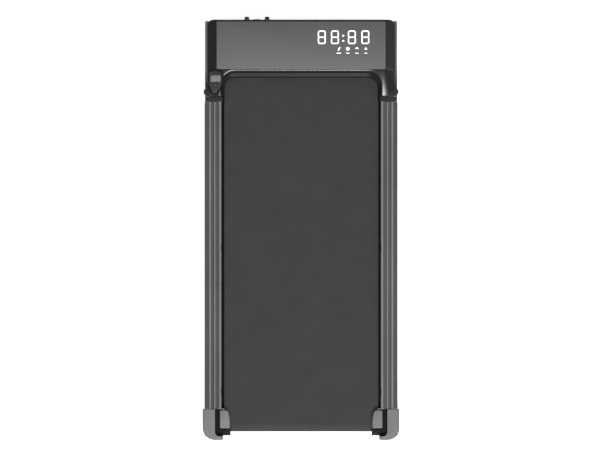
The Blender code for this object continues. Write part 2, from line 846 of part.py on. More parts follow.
def make_rails():
    """A hollow section with three ribs on top and two webs that stand on the frame tube."""
    for side, tag in sides:
        skin = rail_top - rail_wall
        outline = [(rail_outer, rail_low), (rail_outer, rail_top)]
        for place in reversed(rib_places):
            x = rail_inner + place
            outline += [
                (x + rib_width / 2, rail_top),
                (x + rib_width / 4, rail_top + rib_height),
                (x - rib_width / 4, rail_top + rib_height),
                (x - rib_width / 2, rail_top),
            ]
        thin = rail_wall * 0.6
        outline += [
            (rail_inner, rail_top),
            (rail_inner, deck_low + thin),
            (deck_half + ledge_gap, deck_low + thin),
            (deck_half + ledge_gap, deck_low),
            (rail_inner + thin, deck_low),
            (rail_inner + thin, skin),
        ]
        for x in (tube_inner + 3 * MM, tube_outer - 5 * MM):
            foot = tube_top + fit
            outline += [(x, skin), (x, foot), (x + rail_wall, foot), (x + rail_wall, skin)]
        outline += [(rail_outer - rail_wall, skin), (rail_outer - rail_wall, rail_low)]
        outline = [(side * x, z) for x, z in outline]
        rail = prism("rail_" + tag, [outline], "Y", cap_front_y + fit, rail_front_y)
        finish(rail, "rail_anodised")


def make_rear_corner(side, tag):
    bracket_front = cap_front_y - 1 * MM
    channel = guard_outer + channel_width
    wall_y = rear_y + cap_tail
    plan = [
        (cap_half, cap_front_y, 3 * MM),
        (cap_half, rear_y, cap_corner),
        (cap_hook, rear_y, 3 * MM),
        (cap_hook, wall_y, 2 * MM),
        (channel, wall_y, cap_tail),
        (channel, cap_front_y, 0),
    ]
    plan = [(side * x, y) for x, y in rounded(plan)]
    cap = prism("rear_cap_" + tag, [plan], "Z", cap_low, cap_top)
    inside = (side * (cap_hook - 10 * MM), side * (cap_half - cap_wall))
    cut(cap, box("cap_inside_" + tag, inside, (wall_y, cap_front_y + 5 * MM), (0, seat_top + fit)))
    bolt_x = side * (tube_inner + tube_outer) / 2
    access = rod("cap_access_" + tag, "Y", (bolt_x, 0, roller_z), bolt_head + 1 * MM, rear_y - 5 * MM, wall_y + 5 * MM)
    finish(bevel(cut(cap, access), 2 * MM, 1), "cap_grey")

    inner, outer = belt_half + 2.3 * MM, cap_half - cap_wall - fit
    bracket = box(
        "rear_bracket_" + tag, (side * inner, side * outer), (wall_y + fit, bracket_front), (cap_low, seat_top)
    )
    hoop = (rear_roller_y, roller_z)
    bumper = arc(hoop, bumper_radius, 120, 262, 10) + arc(hoop, bumper_radius - bumper_wall, 262, 120, 10)
    reach = (side * bumper_inner, side * (cap_hook + 8 * MM))
    join(bracket, prism("bumper_" + tag, [bumper], "X", *reach))
    room = (side * (tube_inner - fit), side * (tube_outer + fit))
    cut(
        bracket,
        box(
            "tube_room_" + tag, room, (tube_rear_y - fit, bracket_front + 5 * MM), (tube_low - fit, tube_top + fit)
        ),
    )
    slot = slot_outline(rear_roller_y, roller_z, axle_radius + fit, adjust_travel)
    cut(bracket, prism("axle_room_" + tag, [slot], "X", side * (inner - 5 * MM), side * (tube_outer + 4 * MM)))
    head_seat = wall_y + fit + bolt_head_length
    cut(
        bracket,
        rod("bolt_way_" + tag, "Y", (bolt_x, 0, roller_z), bolt_radius + fit, wall_y - 5 * MM, tube_rear_y + 5 * MM),
        rod("bolt_seat_" + tag, "Y", (bolt_x, 0, roller_z), bolt_head + fit, wall_y - 5 * MM, head_seat + fit),
    )
    finish(bracket, "rubber_black")

    length = rear_roller_y + 14 * MM - wall_y
    profile = [
        (0, length),
        (bolt_radius, length),
        (bolt_radius, bolt_head_length),
        (bolt_head, bolt_head_length),
        (bolt_head, fit),
        (bolt_head * 0.55, fit),
        (bolt_head * 0.5, bolt_head_length * 0.6),
        (0, bolt_head_length * 0.6),
    ]
    bolt = turned("tension_bolt_" + tag, profile, "Y", (bolt_x, wall_y, roller_z))
    finish(bolt, "steel_bright")

    low = seat_top + fit
    plan = [
        (guard_outer, cap_front_y - guard_back, 1 * MM),
        (guard_outer, cap_front_y - guard_back - guard_length, 1 * MM),
        (guard_inner, cap_front_y - guard_back - guard_length, 1 * MM),
        (guard_inner, cap_front_y - 22 * MM, 12 * MM),
        (guard_inner + 6 * MM, cap_front_y - guard_back, 5 * MM),
    ]
    plan = [(side * x, y) for x, y in rounded(plan, 3)]
    guard = prism("belt_guard_" + tag, [plan], "Z", low, cap_top)
    finish(bevel(guard, 1.2 * MM), "cap_grey")

    across = (side * (tube_inner - 6 * MM), side * (tube_outer + 4 * MM))
    along = (wall_y + 12 * MM, bracket_front - 14 * MM)
    foot = box("rear_foot_" + tag, across, along, (0, foot_height))
    finish(bevel(foot, 2 * MM), "rubber_black")


# ---- pan, feet and wheels ----


def make_pan():
    top = tube_low - fit
    wall = pan_wall
    outline = [
        (-pan_half, pan_low),
        (pan_half, pan_low),
        (pan_half, top),
        (pan_half - wall, top),
        (pan_half - wall, pan_floor),
        (-pan_half + wall, pan_floor),
        (-pan_half + wall, top),
        (-pan_half, top),
    ]
    pan = prism("base_pan", [outline], "Y", arm_y - pan_rear, front_y - pan_setback)
    for side, tag in sides:
        across = (side * (pan_half - wall), side * pan_half)
        along = (wheel_y - ear_length / 2, wheel_y + ear_length / 2 - 3 * MM)
        join(pan, box("ear_" + tag, across, along, (wheel_z - 11 * MM, top)))
        reach = (side * (pan_half - wall - 3 * MM), side * (pan_half + 3 * MM))
        room = rod("wheel_room_" + tag, "X", (0, wheel_y, wheel_z), wheel_pin_radius + fit, *reach)
        inner = (side * (pan_half - wall - 6 * MM), side * (pan_half - wall))
        relief = (pan_low - 2 * MM, pan_floor + 2 * MM)
        cut(pan, box("pin_relief_" + tag, inner, (wheel_y - 9 * MM, wheel_y + 9 * MM), relief), room)
    vents = 6
    for k in range(vents):
        x = controller_x + controller_length * (k + 0.5) / vents
        cut(pan, box("vent_%d" % k, (x - 4 * MM, x + 4 * MM), (arm_y + 20 * MM, arm_y + 60 * MM), (0, 30 * MM)))
    finish(pan, "steel_black")


def make_feet_and_wheels():
    for side, tag in sides:
        profile = [
            (0, pan_low - fit),
            (front_foot_radius * 0.8, pan_low - fit),
            (front_foot_radius, 4 * MM),
            (front_foot_radius - 1.5 * MM, 0),
            (0, 0),
        ]
        place = (side * front_foot_x, front_y - front_foot_back, 0)
        finish(turned("front_foot_" + tag, profile, "Z", place), "rubber_black")

        outer = hood_half + 0.6 * MM
        inner = outer - wheel_width
        middle = (outer + inner) / 2
        bore = wheel_pin_radius + fit
        half = wheel_width / 2
        profile = [
            (wheel_radius - 2 * MM, half),
            (wheel_radius, half - 2 * MM),
            (wheel_radius, -half + 2 * MM),
            (wheel_radius - 2 * MM, -half),
            (bore, -half),
            (bore, half),
        ]
        wheel = turned("transport_wheel_" + tag, profile, "X", (side * middle, wheel_y, wheel_z), ring=True)
        finish(wheel, "cap_grey")
        wall = pan_half - pan_wall
        profile = [
            (0, outer),
            (wheel_pin_radius, outer),
            (wheel_pin_radius, wall - fit),
            (wheel_pin_radius + 3 * MM, wall - fit),
            (wheel_pin_radius + 3 * MM, wall - 3 * MM),
            (0, wall - 3 * MM),
        ]
        pin = turned("wheel_axle_" + tag, profile, "X", (0, wheel_y, wheel_z))
        if side < 0:
            pin.rotation_euler = (0, -math.pi / 2, 0)
        finish(pin, "steel_bright")


# ---- switch, breaker and cord gland ----


def make_front_fittings():
    face = front_y + fit
    back = front_y - hood_wall - stub_inside
    profile = [
        (stub_radius - 1 * MM, front_y + stub_reach),
        (stub_radius, front_y + stub_reach - 1.5 * MM),
        (stub_radius, front_y + stub_flange_thick),
        (stub_flange, front_y + stub_flange_thick),
        (stub_flange, face),
        (stub_radius, face),
        (stub_radius, back),
    ]
    gland = profile + [(cord_hole, back), (cord_hole, front_y + stub_reach)]
    finish(turned("cord_gland", gland, "Y", (gland_x, 0, stub_z), ring=True), "rubber_black")
    hole = button_radius + fit
    collar = profile + [(hole, back), (hole, front_y + stub_reach)]
    finish(turned("breaker_collar", collar, "Y", (breaker_x, 0, stub_z), ring=True), "steel_black")
    tip = front_y + stub_reach
    button = [
        (0, tip),
        (button_radius - 0.6 * MM, tip),
        (button_radius, tip - 0.6 * MM),
        (button_radius, back + button_travel),
        (0, back + button_travel),
    ]
    finish(turned("breaker_button", button, "Y", (breaker_x, 0, stub_z)), "cap_grey")

    half_width, half_height = switch_width / 2, switch_height / 2
    across = (switch_x - half_width, switch_x + half_width)
    along = (front_y - switch_depth, front_y + 1 * MM)
    bezel = box("switch_bezel", across, along, (stub_z - half_height, stub_z + half_height))
    rim = switch_rim
    plate = box(
        "bezel_plate",
        (across[0] - rim, across[1] + rim),
        (face, front_y + 1.5 * MM),
        (stub_z - half_height - rim, stub_z + half_height + rim),
    )
    room = box(
        "rocker_room",
        (across[0] + 1.5 * MM, across[1] - 1.5 * MM),
        (front_y - switch_depth + 2 * MM, front_y + 5 * MM),
        (stub_z - half_height + 1.5 * MM, stub_z + half_height - 1.5 * MM),
    )
    finish(cut(join(bezel, plate), room), "hood_black")

    pivot = (switch_x, front_y - 5 * MM, stub_z)
    reach = half_height - 1.5 * MM - 1.2 * MM
    outline = [(-4 * MM, -reach * 0.7), (4.5 * MM, -reach), (6 * MM, -reach * 0.5), (5 * MM, 0)]
    outline += [(6 * MM, reach * 0.5), (4.5 * MM, reach), (-4 * MM, reach * 0.7)]
    half = half_width - 1.5 * MM - fit
    rocker = prism("power_rocker", [outline], "X", -half, half)
    rocker.location = pivot
    rocker.rotation_euler = (math.radians(-rocker_tilt), 0, 0)
    finish(rocker, "switch_red")


# ---- remote control ----


def remote_crown(y, front, rear, base, rise):
    """Height of the remote's crowned top at a place along it."""
    share = (front - y) / (front - rear)
    return base + rise * (1 - (2 * share - 0.6) ** 2 / 2.5)


def make_remote():
    inner_edge = cradle_wall
    cradle = prism("remote_cradle", [cradle_outline(0)], "Z", cradle_low, cradle_top)
    cut(cradle, prism("cradle_room", [cradle_outline(-inner_edge)], "Z", cradle_low + cradle_floor, cradle_top + 5 * MM))
    finish(cradle, "rubber_black")

    front = crest_y - cradle_front - inner_edge - fit
    rear = front - cradle_length + 2 * (inner_edge + fit)
    base = cradle_low + cradle_floor + fit
    crown = base + remote_height - crown_shoulder
    remote = prism("remote_body", [cradle_outline(-inner_edge - fit)], "Z", base, base + remote_height)
    steps = 10
    top = []
    for k in range(steps + 1):
        y = front + 1 * MM - (front - rear + 2 * MM) * k / steps
        top.append((y, remote_crown(y, front, rear, crown, crown_rise)))
    shell = [(front + 1 * MM, base - 2 * MM)] + top + [(rear - 1 * MM, base - 2 * MM)]
    middle = -(cradle_outer + cradle_inner) / 2
    trim = prism("remote_crown", [shell], "X", -cradle_outer - 5 * MM, -cradle_inner + 5 * MM)
    boolean(remote, trim, "INTERSECT")
    start_y = front - start_key_back - start_key_length / 2
    speed_y = start_y - start_key_length / 2 - key_gap - speed_key_length / 2
    keys = (
        ("remote_start_key", start_key_width, start_key_length, start_y, "key_light"),
        ("remote_speed_key", speed_key_width, speed_key_length, speed_y, "remote_dark"),
    )
    for name, width, length, y, colour in keys:
        floor = remote_crown(y, front, rear, crown, crown_rise) - key_depth
        half = width / 2 + fit
        room = (middle - half, middle + half)
        along = (y - length / 2 - fit, y + length / 2 + fit)
        cut(remote, box(name + "_room", room, along, (floor, base + remote_height + 10 * MM)))
        rim = []
        for k in range(5):
            place = y + length / 2 - length * k / 4
            rim.append((place, remote_crown(place, front, rear, crown, crown_rise) + key_proud))
        outline = [(y + length / 2, floor + key_travel + fit)] + rim + [(y - length / 2, floor + key_travel + fit)]
        key = prism(name, [outline], "X", middle - width / 2, middle + width / 2)
        finish(set_origin(key, (middle, y, floor + key_travel + fit)), colour)
    finish(remote, "remote_dark")


def main():
    clear_scene()
    add_collections()
    make_frame()
    make_belt()
    make_roller("rear", rear_roller_y)
    make_roller("front", front_roller_y)
    make_drive()
    make_motor()
    make_controller()
    make_hood()
    make_collars()
    make_side_bolts()
    make_rails()
    for side, tag in sides:
        make_rear_corner(side, tag)
    make_pan()
    make_feet_and_wheels()
    make_front_fittings()
    make_remote()


main()
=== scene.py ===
import math

import bmesh
import bpy
from mathutils import Matrix, Vector


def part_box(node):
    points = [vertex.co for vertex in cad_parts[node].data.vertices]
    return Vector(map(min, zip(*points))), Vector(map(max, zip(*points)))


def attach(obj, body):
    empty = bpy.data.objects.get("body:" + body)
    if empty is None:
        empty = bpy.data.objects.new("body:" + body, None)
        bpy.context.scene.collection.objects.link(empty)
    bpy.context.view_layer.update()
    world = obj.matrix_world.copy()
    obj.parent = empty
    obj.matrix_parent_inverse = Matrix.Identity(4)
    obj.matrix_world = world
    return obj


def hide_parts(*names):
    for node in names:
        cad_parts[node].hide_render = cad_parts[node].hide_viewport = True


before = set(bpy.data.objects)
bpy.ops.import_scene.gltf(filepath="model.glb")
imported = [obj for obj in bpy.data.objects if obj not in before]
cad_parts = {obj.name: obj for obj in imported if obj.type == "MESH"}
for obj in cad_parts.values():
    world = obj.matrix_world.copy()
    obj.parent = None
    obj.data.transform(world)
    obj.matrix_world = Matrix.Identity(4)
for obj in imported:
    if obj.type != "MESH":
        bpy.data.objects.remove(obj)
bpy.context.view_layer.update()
mm = 0.001
sides = (("left", -1), ("right", 1))


def nodeBox(name):  # a node's lowest and highest corners, in mm
    low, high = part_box(name)
    return low / mm, high / mm


def axisOf(low, high, axis):  # a box's middle, with 0 for the place along the axis
    return [0 if name == axis else (a + b) / 2 for name, a, b in zip("XYZ", low, high)]


# shapes

def alongEdges(shape, axis):
    index = "XYZ".index(axis)
    found = []
    for edge in shape.edges:
        run = edge.verts[1].co - edge.verts[0].co
        if abs(run[index]) > 0.999 * run.length:
            found.append(edge)
    return found


def sharpEdges(shape, degrees=40):
    limit = math.radians(degrees)
    return [edge for edge in shape.edges if edge.is_manifold and edge.calc_face_angle(0) > limit]


def roundEdges(shape, edges, radius, steps=2):
    if edges and radius:
        bmesh.ops.bevel(
            shape, geom=edges, offset=radius * mm, offset_type="OFFSET", affect="EDGES",
            segments=steps, profile=0.5, material=-1, clamp_overlap=True,
        )
    return shape


def newBox(low, high, corner=0, edge=0, axis="Z", steps=3):  # corner rounds the edges that run along axis
    shape = bmesh.new()
    bmesh.ops.create_cube(shape, size=1)
    lowest = Vector([min(pair) for pair in zip(low, high)])
    highest = Vector([max(pair) for pair in zip(low, high)])
    bmesh.ops.scale(shape, vec=(highest - lowest) * mm, verts=shape.verts)
    bmesh.ops.translate(shape, vec=(highest + lowest) / 2 * mm, verts=shape.verts)
    if corner:
        roundEdges(shape, alongEdges(shape, axis), corner, steps)
    if edge:
        roundEdges(shape, sharpEdges(shape), edge)
    return shape


def onPlane(axis, across, up, along):  # a point in metres, from the two measures square to an axis
    if axis == "X":
        return Vector((along, across, up)) * mm
    if axis == "Y":
        return Vector((across, along, up)) * mm
    return Vector((across, up, along)) * mm


def newPlate(corners, axis, start, end, edge=0, steps=4, edgeSteps=2):  # corners are (across, up, radius)
    shape = bmesh.new()
    verts = [shape.verts.new(onPlane(axis, across, up, start)) for across, up, radius in corners]
    face = shape.faces.new(verts)
    pulled = bmesh.ops.extrude_face_region(shape, geom=[face])
    farVerts = [item for item in pulled["geom"] if isinstance(item, bmesh.types.BMVert)]
    bmesh.ops.translate(shape, vec=onPlane(axis, 0, 0, end - start), verts=farVerts)
    bmesh.ops.recalc_face_normals(shape, faces=shape.faces)
    for wanted in sorted({radius for across, up, radius in corners if radius}):
        spots = [onPlane(axis, across, up, start) for across, up, radius in corners if radius == wanted]
        edges = []
        for line in alongEdges(shape, axis):
            point = line.verts[0].co.copy()
            point["XYZ".index(axis)] = start * mm
            if any((point - spot).length < 0.01 * mm for spot in spots):
                edges.append(line)
        roundEdges(shape, edges, wanted, steps)
    if edge:
        rims = []
        index = "XYZ".index(axis)
        for line in sharpEdges(shape):
            run = line.verts[1].co - line.verts[0].co
            if abs(run[index]) < 0.001 * run.length:
                rims.append(line)
        roundEdges(shape, rims, edge, edgeSteps)
    return shape


def newTurned(points, axis, centre, steps=48):  # points are (radius, along); a ring repeats its first
    shape = bmesh.new()
    middle = Vector(centre) * mm
    turnAxis = onPlane(axis, 0, 0, 1) / mm
    verts = []
    for radius, along in points:
        verts.append(shape.verts.new(middle + onPlane(axis, radius, 0, along)))
    edges = [shape.edges.new(pair) for pair in zip(verts, verts[1:])]
    bmesh.ops.spin(
        shape, geom=verts + edges, cent=middle, axis=turnAxis, angle=2 * math.pi, steps=steps, use_merge=True
    )
    bmesh.ops.remove_doubles(shape, verts=shape.verts, dist=0.002 * mm)
    bmesh.ops.recalc_face_normals(shape, faces=shape.faces)
    return shape


def turned(shape, degrees, axis, centre=(0, 0, 0)):
    about = Vector(centre) * mm
    turn = Matrix.Rotation(math.radians(degrees), 3, axis)
    bmesh.ops.rotate(shape, cent=about, matrix=turn, verts=shape.verts)
    return shape


def moved(shape, offset):
    bmesh.ops.translate(shape, vec=Vector(offset) * mm, verts=shape.verts)
    return shape


def sliceShape(shape, axis, spots):  # cuts the faces through at each spot along an axis
    for spot in spots:
        geom = list(shape.verts) + list(shape.edges) + list(shape.faces)
        normal = onPlane(axis, 0, 0, 1) / mm
        bmesh.ops.bisect_plane(shape, geom=geom, plane_co=onPlane(axis, 0, 0, spot), plane_no=normal)
    return shape


def faceUp(shape):  # turns an open shell's faces outwards
    bmesh.ops.recalc_face_normals(shape, faces=shape.faces)
    top = max(shape.faces, key=lambda face: face.calc_center_median().z)
    if top.normal.z < 0:
        bmesh.ops.reverse_faces(shape, faces=shape.faces)
    return shape


def newObject(name, data):
    item = bpy.data.objects.new(name, data)
    bpy.context.scene.collection.objects.link(item)
    return item


def addPiece(name, shapes, finish, body="base", stands=(), smooth=35, side=1):  # side -1 mirrors it
    joined = bmesh.new()
    mesh = bpy.data.meshes.new(name)
    for shape in shapes:
        shape.to_mesh(mesh)
        joined.from_mesh(mesh)
        shape.free()
    if side < 0:
        bmesh.ops.scale(joined, vec=(-1, 1, 1), verts=joined.verts)
        bmesh.ops.reverse_faces(joined, faces=joined.faces)
    joined.to_mesh(mesh)
    joined.free()
    mesh.materials.append(finishes[finish])
    mesh.shade_smooth()
    mesh.set_sharp_from_angle(angle=math.radians(smooth))
    piece = newObject(name, mesh)
    if stands:
        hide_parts(*stands)
    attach(piece, body)
    return piece


# finishes

finishes = {}


def setSockets(material, node, sockets):  # a socket takes a value or another node's output
    for socket, value in sockets.items():
        if isinstance(value, bpy.types.NodeSocket):
            material.node_tree.links.new(value, node.inputs[socket])
        else:
            node.inputs[socket].default_value = value


def newNode(material, kind, sockets, operation=""):
    node = material.node_tree.nodes.new("ShaderNode" + kind)
    if operation:
        node.operation = operation
    setSockets(material, node, sockets)
    return node


def newRamp(material, source, *stops):  # stops are (position, colour)
    ramp = newNode(material, "ValToRGB", {"Fac": source})
    for element, (position, colour) in zip(ramp.color_ramp.elements, stops):
        element.position = position
        element.color = (*colour, 1)
    return ramp.outputs["Color"]


def newMaterial(name):  # the material, its shader and the place on the object
    material = bpy.data.materials.new(name)
    material.use_nodes = True
    finishes[name] = material
    place = newNode(material, "TexCoord", {}).outputs["Object"]
    return material, material.node_tree.nodes["Principled BSDF"], place


def newFinish(name, look):
    material, shader, place = newMaterial(name)
    cloud = newNode(material, "TexNoise", {  # slow change of tone over the surface
        "Scale": look["cloud"], "Detail": 5, "Roughness": 0.6, "Vector": place,
    })
    tone = newRamp(material, cloud.outputs["Fac"], (0.32, look["dark"]), (0.68, look["light"]))
    if "paintedLightFade" in look:  # painted light: the colour is scaled lighter towards one end along Y, as the light falls across the surface
        start, end, first, last = look["paintedLightFade"]
        axes = newNode(material, "SeparateXYZ", {"Vector": place})
        share = newNode(material, "MapRange", {
            "From Min": start, "From Max": end, "To Min": first, "To Max": last, "Value": axes.outputs["Y"],
        })
        shade = newNode(material, "VectorMath", {0: tone, "Scale": share.outputs["Result"]}, "SCALE")
        tone = shade.outputs["Vector"]

    stretch = newNode(material, "Mapping", {  # draws the grain out along one axis
        "Scale": look.get("stretch", (1, 1, 1)), "Vector": place,
    }).outputs["Vector"]
    grainNode = newNode(material, "TexNoise", {"Scale": look["grain"], "Detail": 3, "Vector": stretch})
    grain = height = grainNode.outputs["Fac"]
    if "cells" in look:  # pebbled surface
        pebble = newNode(material, "TexVoronoi", {"Scale": look["cells"], "Vector": stretch})
        share = look.get("cellShare", 1.0)
        both = newNode(material, "Math", {0: pebble.outputs["Distance"], 1: share, 2: grain}, "MULTIPLY_ADD")
        height = both.outputs["Value"]
    bump = newNode(material, "Bump", {
        "Strength": look["bump"], "Distance": look["depth"] * mm, "Height": height,
    })
    smoothest, roughest = look["rough"]  # roughness wanders with the grain
    sheen = newNode(material, "MapRange", {"To Min": smoothest, "To Max": roughest, "Value": grain})
    setSockets(material, shader, {
        "Metallic": look.get("metal", 0), "Specular IOR Level": look.get("gloss", 0.5), "Base Color": tone,
        "Normal": bump.outputs["Normal"], "Roughness": sheen.outputs["Result"],
    })


def grey(value, warm=0):  # an even grey, or slightly warm or cool
    return (value * (1 + warm), value, value * (1 - warm))


looks = {
    "hoodPlastic": ("hood_black", dict(
        dark=grey(0.006), light=grey(0.008), cloud=9, grain=2600, bump=0.2, depth=0.04, rough=(0.17, 0.28),
        gloss=0.21)),
    # painted light: the panel's colour is scaled lighter towards its rear edge, the side the rear softbox
    # lights from
    "panelGloss": ("panel_smoke", dict(
        dark=(0.0525, 0.0505, 0.0495), light=(0.0598, 0.0575, 0.0563), cloud=5, grain=1800, bump=0.05,
        depth=0.02, rough=(0.30, 0.38), gloss=0.5, paintedLightFade=(0.424, 0.551, 1.25, 0.85))),
    "beltTop": ("belt_black", dict(
        dark=grey(0.028), light=grey(0.032), cloud=14, grain=1500, cells=620, cellShare=0.8, bump=0.5,
        depth=0.16, rough=(0.6, 0.85), gloss=0.1)),
    "beltInside": ("belt_black", dict(
        dark=grey(0.05), light=grey(0.07), cloud=20, grain=900, cells=900, bump=0.6, depth=0.2,
        rough=(0.7, 0.9))),
    "railBrushed": ("rail_anodised", dict(
        dark=grey(0.052), light=grey(0.064), cloud=6, stretch=(1, 0.012, 1), grain=1400, bump=0.1, depth=0.03,
        rough=(0.28, 0.42), metal=0.9)),
    # painted highlight: a lighter metal for the rib crests, so they read bright as lit ridges
    "ribPaintedHighlight": ("rail_anodised", dict(
        dark=grey(0.15), light=grey(0.18), cloud=6, stretch=(1, 0.012, 1), grain=1400, bump=0.08, depth=0.03,
        rough=(0.26, 0.4), metal=0.9)),
    "capPlastic": ("cap_grey", dict(
        dark=grey(0.094), light=grey(0.11), cloud=11, grain=2200, bump=0.25, depth=0.06, rough=(0.38, 0.55))),
    "rubber": ("rubber_black", dict(
        dark=grey(0.005), light=grey(0.008), cloud=30, grain=1500, bump=0.45, depth=0.12, rough=(0.6, 0.85),
        gloss=0.1)),
    "wheelTyre": ("cap_grey", dict(
        dark=grey(0.15), light=grey(0.18), cloud=30, grain=1500, bump=0.35, depth=0.1, rough=(0.55, 0.75))),
    "steelPaint": ("steel_black", dict(
        dark=grey(0.014), light=grey(0.020), cloud=25, grain=1900, bump=0.35, depth=0.08,
        rough=(0.35, 0.55))),
    "steelZinc": ("steel_bright", dict(
        dark=grey(0.50, 0.01), light=grey(0.62, 0.01), cloud=60, grain=1300, bump=0.15, depth=0.05,
        rough=(0.22, 0.42), metal=1.0)),
    "castAluminium": ("aluminium", dict(
        dark=grey(0.42), light=grey(0.52), cloud=40, grain=1400, bump=0.3, depth=0.08, rough=(0.35, 0.55),
        metal=1.0)),
    "deckBoard": ("wood_board", dict(
        dark=(0.016, 0.013, 0.010), light=(0.030, 0.023, 0.017), cloud=60, stretch=(0.2, 0.2, 2.2), grain=500,
        bump=0.3, depth=0.1, rough=(0.6, 0.8))),
    "circuit": ("circuit_board", dict(
        dark=(0.008, 0.06, 0.022), light=(0.012, 0.09, 0.03), cloud=90, grain=800, bump=0.1, depth=0.05,
        rough=(0.3, 0.45))),
    "remoteShell": ("remote_dark", dict(
        dark=grey(0.005), light=grey(0.008), cloud=30, grain=2200, bump=0.3, depth=0.06, rough=(0.32, 0.5),
        gloss=0.35)),
    "keyRubber": ("key_light", dict(
        dark=grey(0.11), light=grey(0.13), cloud=40, grain=1800, bump=0.2, depth=0.05, rough=(0.3, 0.45))),
    "switchRed": ("switch_red", dict(
        dark=(0.32, 0.012, 0.010), light=(0.38, 0.016, 0.013), cloud=60, grain=1500, bump=0.1, depth=0.03,
        rough=(0.22, 0.34))),
}
for finishName, (slotName, look) in looks.items():
    newFinish(finishName, look)


def newGlow(name, colour, strength):  # lit display marks, mottled like a diffused LED
    material, shader, place = newMaterial(name)
    spots = newNode(material, "TexNoise", {"Scale": 260, "Vector": place})
    faint = [part * 0.86 for part in colour]
    tone = newRamp(material, spots.outputs["Fac"], (0, faint), (1, colour))
    setSockets(material, shader, {
        "Roughness": 0.4, "Emission Strength": strength, "Base Color": tone, "Emission Color": tone,
    })


newGlow("displayWhite", (0.9, 0.95, 1.0), 1.2)
print("finishes:", len(finishes))


def cutShape(shape, *cutters):  # takes the cutters out of the shape
    mesh = bpy.data.meshes.new("cutting")
    shape.to_mesh(mesh)
    whole = newObject("cutting", mesh)
    tools = []
    for cutter in cutters:
        toolMesh = bpy.data.meshes.new("cutter")
        cutter.to_mesh(toolMesh)
        cutter.free()
        tool = newObject("cutter", toolMesh)
        take = whole.modifiers.new("take", "BOOLEAN")
        take.operation = "DIFFERENCE"
        take.solver = "EXACT"
        take.object = tool
        tools.append(tool)
    bpy.context.view_layer.update()
    result = whole.evaluated_get(bpy.context.evaluated_depsgraph_get())
    shape.clear()
    shape.from_mesh(result.to_mesh())
    result.to_mesh_clear()
    for leftover in [whole] + tools:
        data = leftover.data
        bpy.data.objects.remove(leftover)
        bpy.data.meshes.remove(data)
    return shape


def giveWall(piece, thickness, otherSide=0):
    wall = piece.modifiers.new("wall", "SOLIDIFY")
    wall.thickness = thickness * mm
    wall.offset = -1
    wall.material_offset = otherSide
    return piece


def smoothMin(first, second, width):
    share = max(0, min(1, 0.5 + 0.5 * (second - first) / width))
    return second + (first - second) * share - width * share * (1 - share)


# motor hood

hoodLow, hoodHigh = nodeBox("motor_hood")
panelLow, panelHigh = nodeBox("top_panel")
beltLow, beltHigh = nodeBox("walking_belt")
wheelLow, wheelHigh = nodeBox("transport_wheel_right")
cradleLow, cradleHigh = nodeBox("remote_cradle")
hood = dict(
    half=hoodHigh.x, front=hoodHigh.y, rear=hoodLow.y, crest=panelLow.y - 0.3, top=hoodHigh.z - 0.6,
    skirt=hoodLow.z, corner=25, rim=5, wall=2.5, cheekStart=panelHigh.x - 1, cheekDrop=29.4, armDrop=26,
    windowHalf=beltHigh.x, lip=panelLow.y - 22.7, windowCorner=27, lipLow=beltHigh.z + 2,
    armBend=1.2, cheekShare=0.75, armNarrow=0.56, rollStart=22.4, rollWide=8.8, rollSlope=0.14,
    rollBend=0.0036, foldDrop=20, lipFace=83.5, lipSlope=0.59, lipFoot=79, lipFootSlope=3.2,
    panelRoom=110, cradleRoom=70,  # the shell is open above these heights, under the panel and in the cradle
    archY=(wheelLow.y + wheelHigh.y) / 2, archZ=(wheelLow.z + wheelHigh.z) / 2, archRadius=23, archInside=243,
)
hoodRows = dict(
    wall=(0, 0.01, 0.04, 0.12, 0.25, 0.4, 0.55, 0.7, 0.82, 0.91, 0.97, 1),
    rim=(0, 0.5, 1.1, 1.9, 2.9, 4.0, 5.4, 7.5, 10),
    middle=11,
    window=(
        25, 23.2, 22.2, 21.4, 20.4, 19.4, 18.4, 17.4, 16.5, 15.7, 15, 14.4, 13.9, 13.5, 13.1, 12.7,
        12.3, 11.9, 11.5, 11, 10, 8.5, 7, 5.5, 4.2, 3.2, 2.4, 1.7, 1.1, 0.5, 0,
    ),
    lip=2,
)
hoodColumns = dict(arm=20, fan=66, front=50)


def windowGap(across, along):  # distance outside the window's edge, stretched where the arms are narrower
    sideways = across - (hood["windowHalf"] - hood["windowCorner"])
    ahead = along - (hood["lip"] - hood["windowCorner"])
    if sideways > 0 and ahead > 0:
        turn = math.atan2(ahead, sideways) / (math.pi / 2)
        gap = math.hypot(sideways, ahead) - hood["windowCorner"]
    else:
        turn = 0 if sideways > ahead else 1
        gap = max(sideways, ahead) - hood["windowCorner"]
    turn = turn * turn * (3 - 2 * turn)
    return gap / (hood["armNarrow"] + (1 - hood["armNarrow"]) * turn)


def hoodHeight(x, y):
    across = abs(x)
    ahead = hood["front"] - y
    level = hood["top"]
    if ahead < hood["rim"]:
        level -= hood["rim"] - math.sqrt(max(0, hood["rim"] ** 2 - (hood["rim"] - ahead) ** 2))
    cheekTop = hood["top"]
    if y < hood["crest"]:
        fall = hood["armDrop"] * ((hood["crest"] - y) / (hood["crest"] - hood["rear"])) ** hood["armBend"]
        level -= fall
        cheekTop -= hood["cheekShare"] * fall
    slope = (across - hood["cheekStart"]) / (hood["half"] - hood["cheekStart"])
    cheek = cheekTop - hood["cheekDrop"] * (0.55 * slope + 0.45 * max(0, slope) ** 9)
    level = smoothMin(level, cheek, 4 if y > hood["crest"] else 4 + 8 * fall / hood["armDrop"])
    gap = windowGap(across, y)
    rolled = max(0, hood["rollStart"] - gap)
    level -= hood["rollSlope"] * rolled + hood["rollBend"] * rolled ** 3
    level -= hood["foldDrop"] * max(0, rolled - hood["rollWide"])
    lipFace = hood["lipFace"] + hood["lipSlope"] * (min(gap, hood["rollStart"] - hood["rollWide"]) - 1.5)
    lipFace = smoothMin(lipFace, hood["lipFoot"] + hood["lipFootSlope"] * gap, 3)
    return -smoothMin(-level, -lipFace, 1.5)


